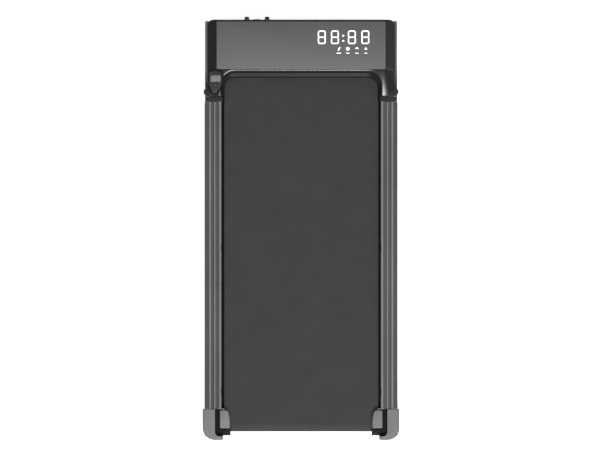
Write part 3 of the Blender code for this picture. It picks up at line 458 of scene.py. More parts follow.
def hoodPoints(share):  # the hood's outer edge and the window's edge, from an arm's end (0) to the middle (1)
    columns = hoodColumns["arm"] + hoodColumns["fan"] + hoodColumns["front"]
    step = share * columns
    bend = hood["lip"] - hood["windowCorner"]
    if step <= hoodColumns["arm"]:
        y = hood["rear"] + (bend - hood["rear"]) * step / hoodColumns["arm"]
        return (hood["half"], y), (hood["windowHalf"], y)
    step -= hoodColumns["arm"]
    middleX = hood["windowHalf"] - hood["windowCorner"]
    cornerX, cornerY = hood["half"] - hood["corner"], hood["front"] - hood["corner"]
    if step <= hoodColumns["fan"]:
        part = step / hoodColumns["fan"]
        angle = part * math.pi / 2
        radius = hood["windowCorner"]
        inner = (middleX + radius * math.cos(angle), bend + radius * math.sin(angle))
        run = part * (cornerY - bend + hood["corner"] * math.pi / 2)
        if run < cornerY - bend:
            return (hood["half"], bend + run), inner
        turn = (run - (cornerY - bend)) / hood["corner"]
        return (cornerX + hood["corner"] * math.cos(turn), cornerY + hood["corner"] * math.sin(turn)), inner
    part = 1 - (step - hoodColumns["fan"]) / hoodColumns["front"]
    return (cornerX * part, hood["front"]), (middleX * part, hood["lip"])


def skirtHeight(x, y):  # the lower edge, lifted over the wheels
    lift = max(0, hood["archRadius"] ** 2 - (y - hood["archY"]) ** 2)
    arch = max(hood["skirt"], hood["archZ"] + math.sqrt(lift)) if lift else hood["skirt"]
    share = max(0, min(1, (abs(x) - hood["archInside"] + 2) / 4))
    return hood["skirt"] + (arch - hood["skirt"]) * share


cradle = dict(
    outer=-cradleLow.x, inner=-cradleHigh.x, front=cradleHigh.y, rear=cradleLow.y, taper=0.42, wall=3.5,
    proud=1.2,
)


def cradleOutline(grow):  # corners (x, y, radius), tapering to the rear
    outer, inner = -cradle["outer"] - grow, -cradle["inner"] + grow
    front, rear = cradle["front"] + grow, cradle["rear"] - grow
    knee = cradle["rear"] + (cradle["front"] - cradle["rear"]) * cradle["taper"]
    width = cradle["outer"] - cradle["inner"]
    return [
        (outer, front, 12 + grow), (inner, front, 13 + grow), (inner, knee, 9),
        (inner - width * 0.34, rear, 6 + grow), (outer + width * 0.22, rear, 6 + grow), (outer, knee, 9),
    ]


def insideOutline(x, y, corners):
    within = False
    for start, end in zip(corners, corners[1:] + corners[:1]):
        (ax, ay), (bx, by) = start[:2], end[:2]
        if (ay > y) != (by > y) and x < (bx - ax) * (y - ay) / (by - ay) + ax:
            within = not within
    return within


def hoodShell():
    columns = 2 * sum(hoodColumns.values())
    wallRows = len(hoodRows["wall"]) - 1
    topRows = len(hoodRows["rim"]) - 1 + hoodRows["middle"] + len(hoodRows["window"])
    rows = wallRows + topRows + hoodRows["lip"]
    shape = bmesh.new()
    bmesh.ops.create_grid(shape, x_segments=columns, y_segments=rows, size=1)
    for vert in shape.verts:
        column = round((vert.co.x + 1) / 2 * columns)
        row = round((vert.co.y + 1) / 2 * rows)
        share = column / columns * 2
        side = 1 if share <= 1 else -1
        outer, inner = hoodPoints(share if share <= 1 else 2 - share)
        length = math.hypot(outer[0] - inner[0], outer[1] - inner[1])
        away = Vector((inner[0] + (outer[0] - inner[0]) * 0.01, inner[1] + (outer[1] - inner[1]) * 0.01))
        narrow = length * 0.01 / windowGap(away.x, away.y)
        if row <= wallRows:
            x, y = outer
            low = skirtHeight(x, y)
            z = low + (hoodHeight(x, y) - low) * hoodRows["wall"][row]
        else:
            row -= wallRows
            rim, window = hoodRows["rim"], hoodRows["window"]
            lastRim = len(rim) - 1
            if row <= lastRim:
                part = rim[row] / length
            elif row <= lastRim + hoodRows["middle"]:
                between = (row - lastRim) / (hoodRows["middle"] + 1)
                part = (rim[-1] + (length - window[0] * narrow - rim[-1]) * between) / length
            else:
                index = min(row - lastRim - hoodRows["middle"] - 1, len(window) - 1)
                part = 1 - window[index] * narrow / length
            x = outer[0] + (inner[0] - outer[0]) * part
            y = outer[1] + (inner[1] - outer[1]) * part
            z = hoodHeight(x, y)
            below = row - lastRim - hoodRows["middle"] - len(window)
            if below > 0:
                z += (hood["lipLow"] - z) * below / hoodRows["lip"]
        vert.co = Vector((side * x, y, z)) * mm
    hidden = []
    pocket = cradleOutline(-1.6)
    for face in shape.faces:
        spots = [vert.co / mm for vert in face.verts]
        underPanel = all(
            abs(spot.x) < panelHigh.x - 3 and panelLow.y + 3 < spot.y < panelHigh.y - 3
            and spot.z > hood["panelRoom"]
            for spot in spots
        )
        inCradle = all(
            insideOutline(spot.x, spot.y, pocket) and spot.z > hood["cradleRoom"] for spot in spots
        )
        if underPanel or inCradle:
            hidden.append(face)
    bmesh.ops.delete(shape, geom=hidden, context="FACES")
    return faceUp(shape)


giveWall(addPiece("hoodShell", [hoodShell()], "hoodPlastic", stands=["motor_hood"], smooth=60), hood["wall"])
print("hood made")


# top panel and display marks

panel = dict(face=0.15, corner=2.5, edge=0.7)
digits = dict(
    left=(44.7, 79.6, 124.8, 160.4), width=20.8, top=526.5, bottom=491, stroke=2.8, gap=0.5,
    colonX=112.3, colonY=(513, 499), colonRadius=2.4, thick=0.3,
)
icons = dict(x=(100.5, 124, 148.5, 172.5), y=478, dashY=466.5, dashWidth=(12, 9, 9, 7))


def panelPlate():
    low, high = panelLow, panelHigh
    corners = [
        (low.x, low.y, panel["corner"]), (high.x, low.y, panel["corner"]),
        (high.x, high.y, panel["corner"]), (low.x, high.y, panel["corner"]),
    ]
    return newPlate(corners, "Z", low.z, high.z - panel["face"], edge=panel["edge"])


def markPlate(points):  # a thin lit shape let into the panel's face
    corners = [(x, y, 0) for x, y in points]
    return newPlate(corners, "Z", panelHigh.z - digits["thick"], panelHigh.z)


def markBar(x, half, low, high):
    return markPlate([(x - half, low), (x + half, low), (x + half, high), (x - half, high)])


def markDot(x, y, radius, steps, hole=0):
    bottom, top = panelHigh.z - digits["thick"], panelHigh.z
    line = [(hole, bottom), (radius, bottom), (radius, top), (hole, top)]
    if hole:
        line.append(line[0])
    return newTurned(line, "Z", (x, y, 0), steps)


def digitBar(ax, ay, bx, by):  # one bar of a digit, pointed at both ends
    half = digits["stroke"] / 2
    if ay == by:
        return markPlate([
            (ax, ay), (ax + half, ay - half), (bx - half, by - half),
            (bx, by), (bx - half, by + half), (ax + half, ay + half),
        ])
    return markPlate([
        (ax, ay), (ax + half, ay + half), (bx + half, by - half),
        (bx, by), (bx - half, by - half), (ax - half, ay + half),
    ])


def displayMarks():
    shapes = []
    half, gap = digits["stroke"] / 2, digits["gap"]
    low, high = digits["bottom"] + half, digits["top"] - half
    middle = (low + high) / 2
    for left in digits["left"]:
        first, last = left + half, left + digits["width"] - half
        for y in (low, middle, high):
            shapes.append(digitBar(first + gap, y, last - gap, y))
        for x in (first, last):
            shapes.append(digitBar(x, low + gap, x, middle - gap))
            shapes.append(digitBar(x, middle + gap, x, high - gap))
    for y in digits["colonY"]:
        shapes.append(markDot(digits["colonX"], y, digits["colonRadius"], 24))
    barX, clockX, archX, dotX = icons["x"]
    y = icons["y"]
    bar = [(barX - 3, y - 4), (barX - 0.4, y - 5), (barX + 4.4, y + 4), (barX + 1.4, y + 4.6)]
    shapes.append(markPlate(bar))
    shapes.append(markDot(clockX, y, 4.4, 28, hole=2.6))
    shapes.append(markBar(clockX, 0.5, y - 0.3, y + 2))
    arch = []
    for radius, steps in ((4.2, range(9)), (2.3, range(8, -1, -1))):
        for step in steps:
            angle = math.pi * step / 8
            arch.append((archX + radius * math.cos(angle), y - 0.5 + radius * math.sin(angle)))
    shapes.append(markPlate(arch))
    shapes.append(markDot(dotX, y, 3, 24))
    for x, width in zip(icons["x"], icons["dashWidth"]):
        shapes.append(markBar(x, width / 2, icons["dashY"] - 0.7, icons["dashY"] + 0.7))
    return shapes


addPiece("panelPlate", [panelPlate()], "panelGloss", stands=["top_panel"])
addPiece("displayMarks", displayMarks(), "displayWhite")
print("panel made")


# collars behind the hood's arms

collar = dict(chamfer=4, edge=0.8)


def collarShape():
    low, high = nodeBox("collar_right")
    outline = [
        (low.x, hood["lipLow"], 0), (high.x - 4, hood["lipLow"], 0),
        (high.x - 4, low.z, 0), (high.x, low.z, 0),
        (high.x, high.z, collar["chamfer"]), (low.x + 5.5, high.z, 3), (low.x, high.z - 8, 2),
    ]
    return newPlate(outline, "Y", low.y, high.y, edge=collar["edge"])


for tag, side in sides:
    addPiece("collarTrim_" + tag, [collarShape()], "hoodPlastic", stands=["collar_" + tag], side=side)


# side rails

rail = dict(
    ribs=((3.4, 6.4), (17.4, 4.8), (30.2, 6.0)), ribHeight=1.5, wall=2, round=1.6, ledge=6, ledgeThick=1.2,
    upstand=8,
)


def railShape():
    low, high = nodeBox("rail_right")
    inner = low.x + rail["ledge"]
    top, skin = high.z - rail["ribHeight"], high.z - rail["ribHeight"] - rail["wall"]
    outline = [(high.x, low.z, 0.5), (high.x, top, rail["round"])]
    for place, width in reversed(rail["ribs"]):
        x = inner + place
        outline += [
            (x + width / 2, top, 0.3), (x + width / 2 - 0.8, high.z - 0.9, 0.3),
            (x - width / 2 + 0.8, high.z - 0.9, 0.3), (x - width / 2, top, 0.3),
        ]
    outline += [
        (inner, top - 0.8, 0), (inner, deckLow.z, 0), (inner + 1.2, deckLow.z, 0), (inner + 1.2, skin, 0),
        (high.x - rail["wall"], skin, 0), (high.x - rail["wall"], low.z, 0),
    ]
    return newPlate(outline, "Y", low.y, high.y, steps=3)


def ribHighlightShapes():  # rib crests in a lighter metal: a painted highlight standing in for the light the raised ribs catch
    low, high = nodeBox("rail_right")
    shapes = []
    for place, width in rail["ribs"]:
        x = low.x + rail["ledge"] + place
        half = width / 2 - 0.5
        shapes.append(newPlate([
            (x - half, high.z - 1.4, 0), (x + half, high.z - 1.4, 0), (x + half, high.z - 0.6, 0.5),
            (x + half * 0.55, high.z, 0.9), (x - half * 0.55, high.z, 0.9), (x - half, high.z - 0.6, 0.5),
        ], "Y", low.y + 0.2, high.y - 0.2, steps=3))
    return shapes


def ledgeShape():  # dark strip that closes the gap between the deck and the rail
    low, high = nodeBox("rail_right")
    inner = low.x + rail["ledge"]
    ledgeTop, upstand = deckLow.z + rail["ledgeThick"], deckLow.z + rail["upstand"]
    outline = [
        (deckHigh.x, deckLow.z), (inner - 0.2, deckLow.z), (inner - 0.2, upstand), (inner - 1.2, upstand),
        (inner - 1.6, ledgeTop), (deckHigh.x, ledgeTop),
    ]
    return newPlate([(x, z, 0) for x, z in outline], "Y", low.y, high.y + 7)


deckLow, deckHigh = nodeBox("deck_board")
for tag, side in sides:
    addPiece("railProfile_" + tag, [railShape()], "railBrushed", stands=["rail_" + tag], side=side, smooth=50)
    # the ribs' lighter finish is a painted highlight
    addPiece("railRibs_" + tag, ribHighlightShapes(), "ribPaintedHighlight", side=side, smooth=50)
    addPiece("gapStrip_" + tag, [ledgeShape()], "rubber", side=side)
print("rails made")


# walking belt: one loop round both rollers

belt = dict(thick=1.6, arcSteps=36, runs=24, margin=0.8)


def beltLoop():
    frontLow, frontHigh = nodeBox("front_roller")
    rearLow, rearHigh = nodeBox("rear_roller")
    axisZ = (frontLow.z + frontHigh.z) / 2
    frontY, rearY = (frontLow.y + frontHigh.y) / 2, (rearLow.y + rearHigh.y) / 2
    top = beltHigh.z
    shape = bmesh.new()
    ends = [shape.verts.new(Vector((x, frontY, top)) * mm) for x in (beltLow.x, beltHigh.x)]
    edge = shape.edges.new(ends)
    for start, direction in ((frontY, -1), (rearY, 1)):
        for run in range(belt["runs"]):
            pulled = bmesh.ops.extrude_edge_only(shape, edges=[edge])["geom"]
            edge = next(item for item in pulled if isinstance(item, bmesh.types.BMEdge))
            shift = direction * (frontY - rearY) / belt["runs"]
            bmesh.ops.translate(shape, vec=Vector((0, shift, 0)) * mm, verts=edge.verts)
        middle = rearY if direction < 0 else frontY
        spun = bmesh.ops.spin(
            shape, geom=list(edge.verts) + [edge], cent=Vector((0, middle, axisZ)) * mm, axis=(1, 0, 0),
            angle=math.pi, steps=belt["arcSteps"], use_merge=False,
        )
        edge = next(item for item in spun["geom_last"] if isinstance(item, bmesh.types.BMEdge))
    bmesh.ops.remove_doubles(shape, verts=shape.verts, dist=0.01 * mm)
    margin = belt["margin"]  # keeps the rounding to the very edge
    return faceUp(sliceShape(shape, "X", (beltLow.x + margin, beltHigh.x - margin)))


walkingBelt = addPiece("beltLoop", [beltLoop()], "beltTop", stands=["walking_belt"])
walkingBelt.data.materials.append(finishes["beltInside"])
giveWall(walkingBelt, belt["thick"], 1)
print("belt made")


# rear corners

capLow, capHigh = nodeBox("rear_cap_right")
bracketLow, bracketHigh = nodeBox("rear_bracket_right")
boltLow, boltHigh = nodeBox("tension_bolt_right")
guardLow, guardHigh = nodeBox("belt_guard_right")
rearRollerLow, rearRollerHigh = nodeBox("rear_roller")
rollerZ = (rearRollerLow.z + rearRollerHigh.z) / 2
rearRollerY = (rearRollerLow.y + rearRollerHigh.y) / 2
boltX = (boltLow.x + boltHigh.x) / 2
# cap faces turned further from straight up than the tilt limit are darkened: painted shade on the rounded
# edges, partly a dark lower part
cap = dict(
    corner=32, tail=11, wall=4, edge=4, paintedShadeTilt=0.9, accessRadius=6.5, seamDepth=0.7, seamWidth=1.0, seamZ=30,
)


def capShape():
    channel = guardHigh.x + 12
    wallY = capLow.y + cap["tail"]
    outline = [
        (capHigh.x, capHigh.y, 2), (capHigh.x, capLow.y, cap["corner"]), (capLow.x, capLow.y, 4),
        (capLow.x, wallY, 3), (channel, wallY, cap["tail"]), (channel, capHigh.y, 0),
    ]
    shape = newPlate(outline, "Z", capLow.z, capHigh.z, edge=cap["edge"], steps=10, edgeSteps=4)
    roomHigh = (capHigh.x - cap["wall"], capHigh.y + 8, bracketHigh.z - 3.8)
    room = newBox((capLow.x - 12, wallY, -5), roomHigh, corner=6)
    access = newTurned(
        [(0, -12), (cap["accessRadius"], -12), (cap["accessRadius"], 20), (0, 20)],
        "Y", (boltX, capLow.y, rollerZ), 32,
    )
    groove = newBox(
        (capHigh.x - cap["seamDepth"], capLow.y + cap["corner"], cap["seamZ"]),
        (capHigh.x + 5, capHigh.y - 3, cap["seamZ"] + cap["seamWidth"]),
    )
    return cutShape(shape, room, access, groove)


guard = dict(corner=12, edge=1.4)


def guardShape():
    low, high = guardLow, guardHigh
    outline = [
        (high.x, high.y, 1.5), (high.x, low.y, 2), (low.x, low.y, 2),
        (low.x, high.y - 18, guard["corner"]), (low.x + 6, high.y, 5),
    ]
    return newPlate(outline, "Z", low.z, high.z, edge=guard["edge"], steps=6, edgeSteps=3)


def crossScrew(centre, radius, height, turn):  # a cross-head screw that points down
    dome = [(0, -1), (radius, -1), (radius, height * 0.35), (radius * 0.75, height * 0.85), (0, height)]
    shape = newTurned(dome, "Z", (0, 0, 0), 28)
    slots = []
    for angle in (turn, turn + 90):
        reach, half = radius * 0.62, radius * 0.12
        slot = newBox((-reach, -half, height * 0.35), (reach, half, height + 3))
        slots.append(turned(slot, angle, "Z"))
    return moved(turned(cutShape(shape, *slots), 180, "X"), centre)


bracket = dict(bumperRadius=33.5, bumperWall=9, bumperEnd=216)


def bumperShape():  # the dark curved guard behind the rear roller
    shape = bmesh.new()
    middle = Vector((0, rearRollerY, rollerZ)) * mm
    outer, inner = bracket["bumperRadius"], bracket["bumperRadius"] - bracket["bumperWall"]
    verts = []
    for radius in (outer, inner):
        for x in (bracketLow.x, bracket["bumperEnd"]):
            verts.append(shape.verts.new(middle + Vector((x, 0, radius)) * mm))
    face = shape.faces.new([verts[0], verts[1], verts[3], verts[2]])
    turned(shape, 30, "X", (0, rearRollerY, rollerZ))
    bmesh.ops.spin(
        shape, geom=list(face.verts) + list(face.edges) + [face], cent=middle, axis=(1, 0, 0),
        angle=math.radians(142), steps=24, use_merge=False,
    )
    bmesh.ops.remove_doubles(shape, verts=shape.verts, dist=0.01 * mm)
    bmesh.ops.recalc_face_normals(shape, faces=shape.faces)
    return roundEdges(shape, sharpEdges(shape, 60), 1.2, 3)


def refined(name, edge):  # a merged copy of a node with eased edges
    shape = bmesh.new()
    shape.from_mesh(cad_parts[name].data)
    bmesh.ops.remove_doubles(shape, verts=shape.verts, dist=0.005 * mm)
    bmesh.ops.dissolve_limit(
        shape, angle_limit=math.radians(1), verts=shape.verts, edges=shape.edges,
        use_dissolve_boundaries=False,
    )
    return roundEdges(shape, sharpEdges(shape), edge)


foot = dict(edge=2, corner=5, grooves=4, grooveWidth=2, grooveDepth=1.6)


def rearFootShape():
    low, high = nodeBox("rear_foot_right")
    shape = newBox(low, high, corner=foot["corner"], edge=foot["edge"], steps=5)
    cutters = []
    pitch = (high.y - low.y) / (foot["grooves"] + 1)
    for count in range(foot["grooves"]):
        y = low.y + pitch * (count + 1)
        half = foot["grooveWidth"] / 2
        grooveTop = low.z + foot["grooveDepth"]
        cutters.append(newBox((low.x - 5, y - half, low.z - 5), (high.x + 5, y + half, grooveTop)))
    return cutShape(shape, *cutters)


bolt = dict(head=5.5, headLength=6, radius=3, socket=2.5, socketDepth=3.2)


def hexPrism(radius, axis, centre, start, end, turn=0):
    corners = []
    for count in range(6):
        angle = math.radians(60 * count + turn)
        corners.append((radius * math.cos(angle), radius * math.sin(angle), 0))
    return moved(newPlate(corners, axis, start, end), centre)


def tensionBoltShape():
    length = boltHigh.y - boltLow.y
    profile = [
        (0, length), (bolt["radius"] - 0.5, length), (bolt["radius"], length - 0.5),
        (bolt["radius"], bolt["headLength"]),
        (bolt["head"], bolt["headLength"]), (bolt["head"], 0.6), (bolt["head"] - 0.6, 0), (0, 0),
    ]
    place = (boltX, boltLow.y, rollerZ)
    shape = newTurned(profile, "Y", place, 40)
    return cutShape(shape, hexPrism(bolt["socket"] * 1.15, "Y", place, -3, bolt["socketDepth"]))


for tag, side in sides:
    corner = addPiece("cornerCap_" + tag, [capShape()], "capPlastic", stands=["rear_cap_" + tag], side=side)
    corner.data.materials.append(finishes["hoodPlastic"])  # dark plastic on the faces that turn away from straight up, the walls and the top's rounded edge: partly a dark lower part, partly painted shade for the dark outline along the cap's edge
    for face in corner.data.polygons:
        if face.normal.z < cap["paintedShadeTilt"]:
            face.material_index = 1
    addPiece("beltGuard_" + tag, [guardShape()], "capPlastic", stands=["belt_guard_" + tag], side=side)
    bracketNode = "rear_bracket_" + tag
    addPiece("cornerBracket_" + tag, [refined(bracketNode, 0.4)], "rubber", stands=[bracketNode])
    addPiece("cornerBumper_" + tag, [bumperShape()], "rubber", side=side)
    addPiece("rearPad_" + tag, [rearFootShape()], "rubber", stands=["rear_foot_" + tag], side=side)
    addPiece(
        "tensionBolt_" + tag, [tensionBoltShape()], "steelZinc", "tension_bolt_" + tag,
        ["tension_bolt_" + tag], side=side,
    )
print("rear corners made")


# bolts on the sides of the hood's arms

sideBolt = dict(socket=3.4, socketDepth=2.2)


def sideBoltShape():
    low, high = nodeBox("side_bolt_right")
    radius = (high.z - low.z) / 2
    place = axisOf(low, high, "X")
    neck, shoulder = high.x - 3.6, high.x - 1.9
    profile = [(0, low.x), (3, low.x), (3, neck), (radius, neck), (radius, shoulder)]
    for step in range(1, 5):
        angle = math.radians(90 * step / 4)
        profile.append((radius - 2.2 * (1 - math.cos(angle)), shoulder + 1.9 * math.sin(angle)))
    profile.append((0, high.x))
    shape = newTurned(profile, "X", place, 40)
    bottom = high.x - sideBolt["socketDepth"]
    socket = hexPrism(sideBolt["socket"], "X", place, bottom, high.x + 4)
    return cutShape(shape, socket)


# transport wheels

wheel = dict(tyre=4.2, tread=5, treadDepth=0.7, hubDish=1.6, holes=5, holeRadius=2.3, holeRing=10)


def wheelShapes():
    radius = (wheelHigh.z - wheelLow.z) / 2
    centre = (0, hood["archY"], hood["archZ"])
    start, end = wheelLow.x, wheelHigh.x
    inner = radius - wheel["tyre"]
    outline = [(inner, start + 0.3), (radius - 2, start + 0.3), (radius - 0.4, start + 1.6)]
    run = (end - start - 3.2) / wheel["tread"]
    for count in range(wheel["tread"]):
        along = start + 1.6 + run * count
        outline += [(radius, along + run * 0.15), (radius, along + run * 0.8)]
        outline.append((radius - wheel["treadDepth"], along + run * 0.975))
    outline += [(radius - 2, end - 0.3), (inner, end - 0.3), (inner, start + 0.3)]
    tyre = newTurned(outline, "X", centre, 72)
    dish, bore = wheel["hubDish"], 4.3
    hubLine = [
        (bore, start), (inner - 0.1, start), (inner + 0.1, end), (inner - 1.8, end),
        (inner - 2.6, end - dish),
        (8.4, end - dish), (7.6, end - 0.3), (bore, end - 0.3), (bore, start),
    ]
    hub = newTurned(hubLine, "X", centre, 60)
    holes = []
    for count in range(wheel["holes"]):
        angle = 2 * math.pi * count / wheel["holes"]
        ring, hole = wheel["holeRing"], wheel["holeRadius"]
        spot = (0, centre[1] + ring * math.cos(angle), centre[2] + ring * math.sin(angle))
        line = [(0, start - 3), (hole, start - 3), (hole, end + 3), (0, end + 3)]
        holes.append(newTurned(line, "X", spot, 20))
    return tyre, cutShape(hub, *holes)


def wheelPinShape():
    low, high = nodeBox("wheel_axle_right")
    middle = axisOf(low, high, "X")
    radius, flange = 4, (high.z - low.z) / 2
    profile = [
        (0, low.x), (flange - 0.5, low.x), (flange, low.x + 0.5), (flange, low.x + 2.7),
        (radius, low.x + 2.7), (radius, high.x - 0.8), (radius - 0.8, high.x), (1.6, high.x),
        (1.2, high.x - 0.7), (0, high.x - 0.7),
    ]
    return newTurned(profile, "X", middle, 40)


for tag, side in sides:
    addPiece("armBolt_" + tag, [sideBoltShape()], "steelPaint", stands=["side_bolt_" + tag], side=side)
    tyre, hub = wheelShapes()
    rides = "transport_wheel_" + tag
    addPiece("wheelTyre_" + tag, [tyre], "wheelTyre", rides, [rides], side=side)
    addPiece("wheelHub_" + tag, [hub], "capPlastic", rides, side=side)
    addPiece("wheelPin_" + tag, [wheelPinShape()], "steelZinc", stands=["wheel_axle_" + tag], side=side)


# cord gland, breaker and switch on the front

glandLow, glandHigh = nodeBox("cord_gland")
breakerLow, breakerHigh = nodeBox("breaker_collar")
buttonLow, buttonHigh = nodeBox("breaker_button")
front = hoodHigh.y
stub = dict(radius=6, flange=8.5, flangeThick=2.5, threads=4, threadDepth=0.5)


def stubShapes(low, high, bore):
    middle = axisOf(low, high, "Y")
    tip, start = high.y, front + stub["flangeThick"]
    radius = stub["radius"]
    profile = [(bore, low.y), (radius, low.y), (radius, start)]
    pitch = (tip - start) / stub["threads"]
    for count in range(stub["threads"]):
        along = start + pitch * count
        profile += [(radius - stub["threadDepth"], along + pitch * 0.25), (radius, along + pitch * 0.75)]
    profile += [(radius - 0.6, tip), (bore + 0.4, tip), (bore, tip - 0.4), (bore, low.y)]
    body = newTurned(profile, "Y", middle, 48)
    nut = hexPrism(stub["flange"], "Y", middle, front + 0.3, start, turn=30)
    roundEdges(nut, sharpEdges(nut, 50), 0.5)
    return [body, nut]


def glandSeal():  # rubber seal with the cord's hole
    middle = axisOf(glandLow, glandHigh, "Y")
    tip = glandHigh.y
    profile = [
        (2.2, tip - 6), (3.5, tip - 6), (3.9, tip - 1.2), (3.2, tip - 0.4), (2.6, tip - 0.8),
        (2.2, tip - 1.6), (2.2, tip - 6),
    ]
    return newTurned(profile, "Y", middle, 36)


def buttonShape():
    middle = axisOf(buttonLow, buttonHigh, "Y")
    radius, tip = (buttonHigh.x - buttonLow.x) / 2, buttonHigh.y
    profile = [(0, buttonLow.y), (radius, buttonLow.y), (radius, tip - 1), (radius - 0.3, tip - 0.35)]
    profile += [(radius - 1, tip), (1.4, tip - 0.25), (0, tip - 0.3)]
    return newTurned(profile, "Y", middle, 40)


switch = dict(corner=1.6, edge=0.5)


def bezelShape():
    low, high = nodeBox("switch_bezel")
    corner, edge = switch["corner"], switch["edge"]
    plate = newBox((low.x, front + 0.3, low.z), high, corner=corner, edge=edge, axis="Y", steps=4)
    body = newBox((low.x + 2, low.y, low.z + 2), (high.x - 2, front + 1, high.z - 2))
    shapes = []
    for shape in (plate, body):
        inside = newBox(
            (low.x + 3.5, low.y + 2, low.z + 3.5), (high.x - 3.5, high.y + 5, high.z - 3.5),
            corner=0.8, axis="Y",
        )
        shapes.append(cutShape(shape, inside))
    return shapes


rockerLow, rockerHigh = nodeBox("power_rocker")
rocker = dict(pivotY=front - 5, tilt=-8)


def rockerMarks():  # a bar and a ring, for on and off
    centreX, centreZ = (rockerLow.x + rockerHigh.x) / 2, (glandLow.z + glandHigh.z) / 2
    face = rocker["pivotY"] + 5.5
    bar = newBox((centreX - 0.5, face - 1, centreZ + 3.4), (centreX + 0.5, face + 0.38, centreZ + 7))
    line = [(1.3, face - 1), (2.0, face - 1), (2.0, face + 0.38), (1.3, face + 0.38), (1.3, face - 1)]
    ring = newTurned(line, "Y", (centreX, 0, centreZ - 5), 28)
    marks = []
    for shape in (bar, ring):
        marks.append(turned(shape, rocker["tilt"], "X", (centreX, rocker["pivotY"], centreZ)))
    return marks


addPiece("cordGland", stubShapes(glandLow, glandHigh, 4), "steelPaint", stands=["cord_gland"])
addPiece("glandSeal", [glandSeal()], "rubber")
addPiece("breakerCollar", stubShapes(breakerLow, breakerHigh, 4.1), "steelPaint", stands=["breaker_collar"])
addPiece("breakerButton", [buttonShape()], "keyRubber", "breaker_button", ["breaker_button"])
addPiece("switchBezel", bezelShape(), "hoodPlastic", stands=["switch_bezel"])
rockerPiece = [refined("power_rocker", 0.5)]
addPiece("rockerKey", rockerPiece, "switchRed", "power_rocker", ["power_rocker"], smooth=50)
addPiece("rockerMarks", rockerMarks(), "keyRubber", "power_rocker")
print("front fittings made")


# front feet

frontFoot = dict(rings=3, ringWidth=1.6, ringDepth=1.2)


def frontFootShape():
    low, high = nodeBox("front_foot_right")
    radius = (high.x - low.x) / 2
    middle = axisOf(low, high, "Z")
    profile = [(0, 0)]
    pitch = (radius - 3) / (frontFoot["rings"] + 1)
    for count in range(1, frontFoot["rings"] + 1):
        at, half = pitch * count, frontFoot["ringWidth"] / 2
        profile += [(at - half, 0), (at - half, frontFoot["ringDepth"])]
        profile += [(at + half, frontFoot["ringDepth"]), (at + half, 0)]
    profile += [(radius - 2, 0), (radius - 0.5, 0.6), (radius, 2), (radius, 4), (radius - 1.6, 6)]
    profile += [(radius - 3, high.z), (0, high.z)]
    return newTurned(profile, "Z", middle, 56)


for tag, side in sides:
    addPiece("frontPad_" + tag, [frontFootShape()], "rubber", stands=["front_foot_" + tag], side=side)


# remote control in its cradle on the left arm

remoteLow, remoteHigh = nodeBox("remote_body")
startLow, startHigh = nodeBox("remote_start_key")
speedLow, speedHigh = nodeBox("remote_speed_key")
remote = dict(
    grow=-3.8, rise=6, shoulder=23, edge=1.6, ribs=7, ribPitch=4.4, ribWidth=1.6, ribHeight=0.7,
    smoothHalf=6,  # no ribs nearer than this to the middle line
    keyCorner=4, keyEdge=0.7, wellRoom=1.8, wellGap=0.4,
)


def cradleShape():  # a rim that follows the arm, open in the middle
    outer = newPlate(cradleOutline(0), "Z", cradleLow.z, cradleHigh.z, steps=8)
    inner = newPlate(cradleOutline(-cradle["wall"]), "Z", cradleLow.z + 3, cradleHigh.z + 20, steps=8)
    shape = cutShape(outer, inner)
    bmesh.ops.subdivide_edges(shape, edges=longEdges(shape, 6), cuts=6, use_grid_fill=True)
    for vert in shape.verts:
        spot = vert.co / mm
        if spot.z > cradleHigh.z - 0.1:
            raised = hoodHeight(spot.x, spot.y) + cradle["proud"]
            vert.co.z = max(cradleHigh.z - 6, min(raised, hoodHigh.z)) * mm
    return shape


def longEdges(shape, length):  # level edges longer than a length
    found = []
    for edge in shape.edges:
        run = edge.verts[1].co - edge.verts[0].co
        level = abs(run.z) < 0.1 * run.length and edge.verts[0].co.z > (cradleHigh.z - 1) * mm
        if level and run.length > length * mm:
            found.append(edge)
    return found


def crown(y):  # height of the remote's top along its length
    share = (remoteHigh.y - y) / (remoteHigh.y - remoteLow.y)
    return remoteLow.z + remote["shoulder"] + remote["rise"] * (1 - (2 * share - 0.6) ** 2 / 2.5)


def crowned(shape, cutOff=0):  # pulls a shape's upper half onto the crown
    for vert in shape.verts:
        spot = vert.co / mm
        if spot.z > cutOff:
            vert.co.z = (spot.z - remoteHigh.z + crown(spot.y)) * mm
    return shape


def remoteShape():
    corners = cradleOutline(remote["grow"])
    shape = newPlate(corners, "Z", remoteLow.z, remoteHigh.z, edge=remote["edge"], steps=8, edgeSteps=4)
    length = remoteHigh.y - remoteLow.y
    sliceShape(shape, "Y", [remoteLow.y + length * count / 12 for count in range(1, 12)])
    crowned(shape, remoteLow.z + 12)
    wells = []
    for low, high in ((startLow, startHigh), (speedLow, speedHigh)):
        gap = remote["wellGap"]
        wells.append(newBox(
            (low.x - gap, low.y - gap, low.z - remote["wellRoom"]), (high.x + gap, high.y + gap, high.z + 10),
            corner=remote["keyCorner"] + 0.3, steps=5,
        ))
    return cutShape(shape, *wells)


def remoteRibs():  # fine grip ribs along the lower half
    shapes = []
    middle = (remoteLow.x + remoteHigh.x) / 2
    for count in range(remote["ribs"]):
        offset = (count - (remote["ribs"] - 1) / 2) * remote["ribPitch"]
        if abs(offset) < remote["smoothHalf"]:
            continue
        reach = startLow.y - 3 - abs(offset) * 0.2
        tail = remoteLow.y + 6 + abs(offset) * 0.9
        half = remote["ribWidth"] / 2
        rib = newBox(
            (middle + offset - half, tail, remoteHigh.z - 1.5),
            (middle + offset + half, reach, remoteHigh.z + remote["ribHeight"]),
            corner=0.7, edge=0.3,
        )
        sliceShape(rib, "Y", [tail + (reach - tail) * step / 8 for step in range(1, 8)])
        shapes.append(crowned(rib))
    return shapes


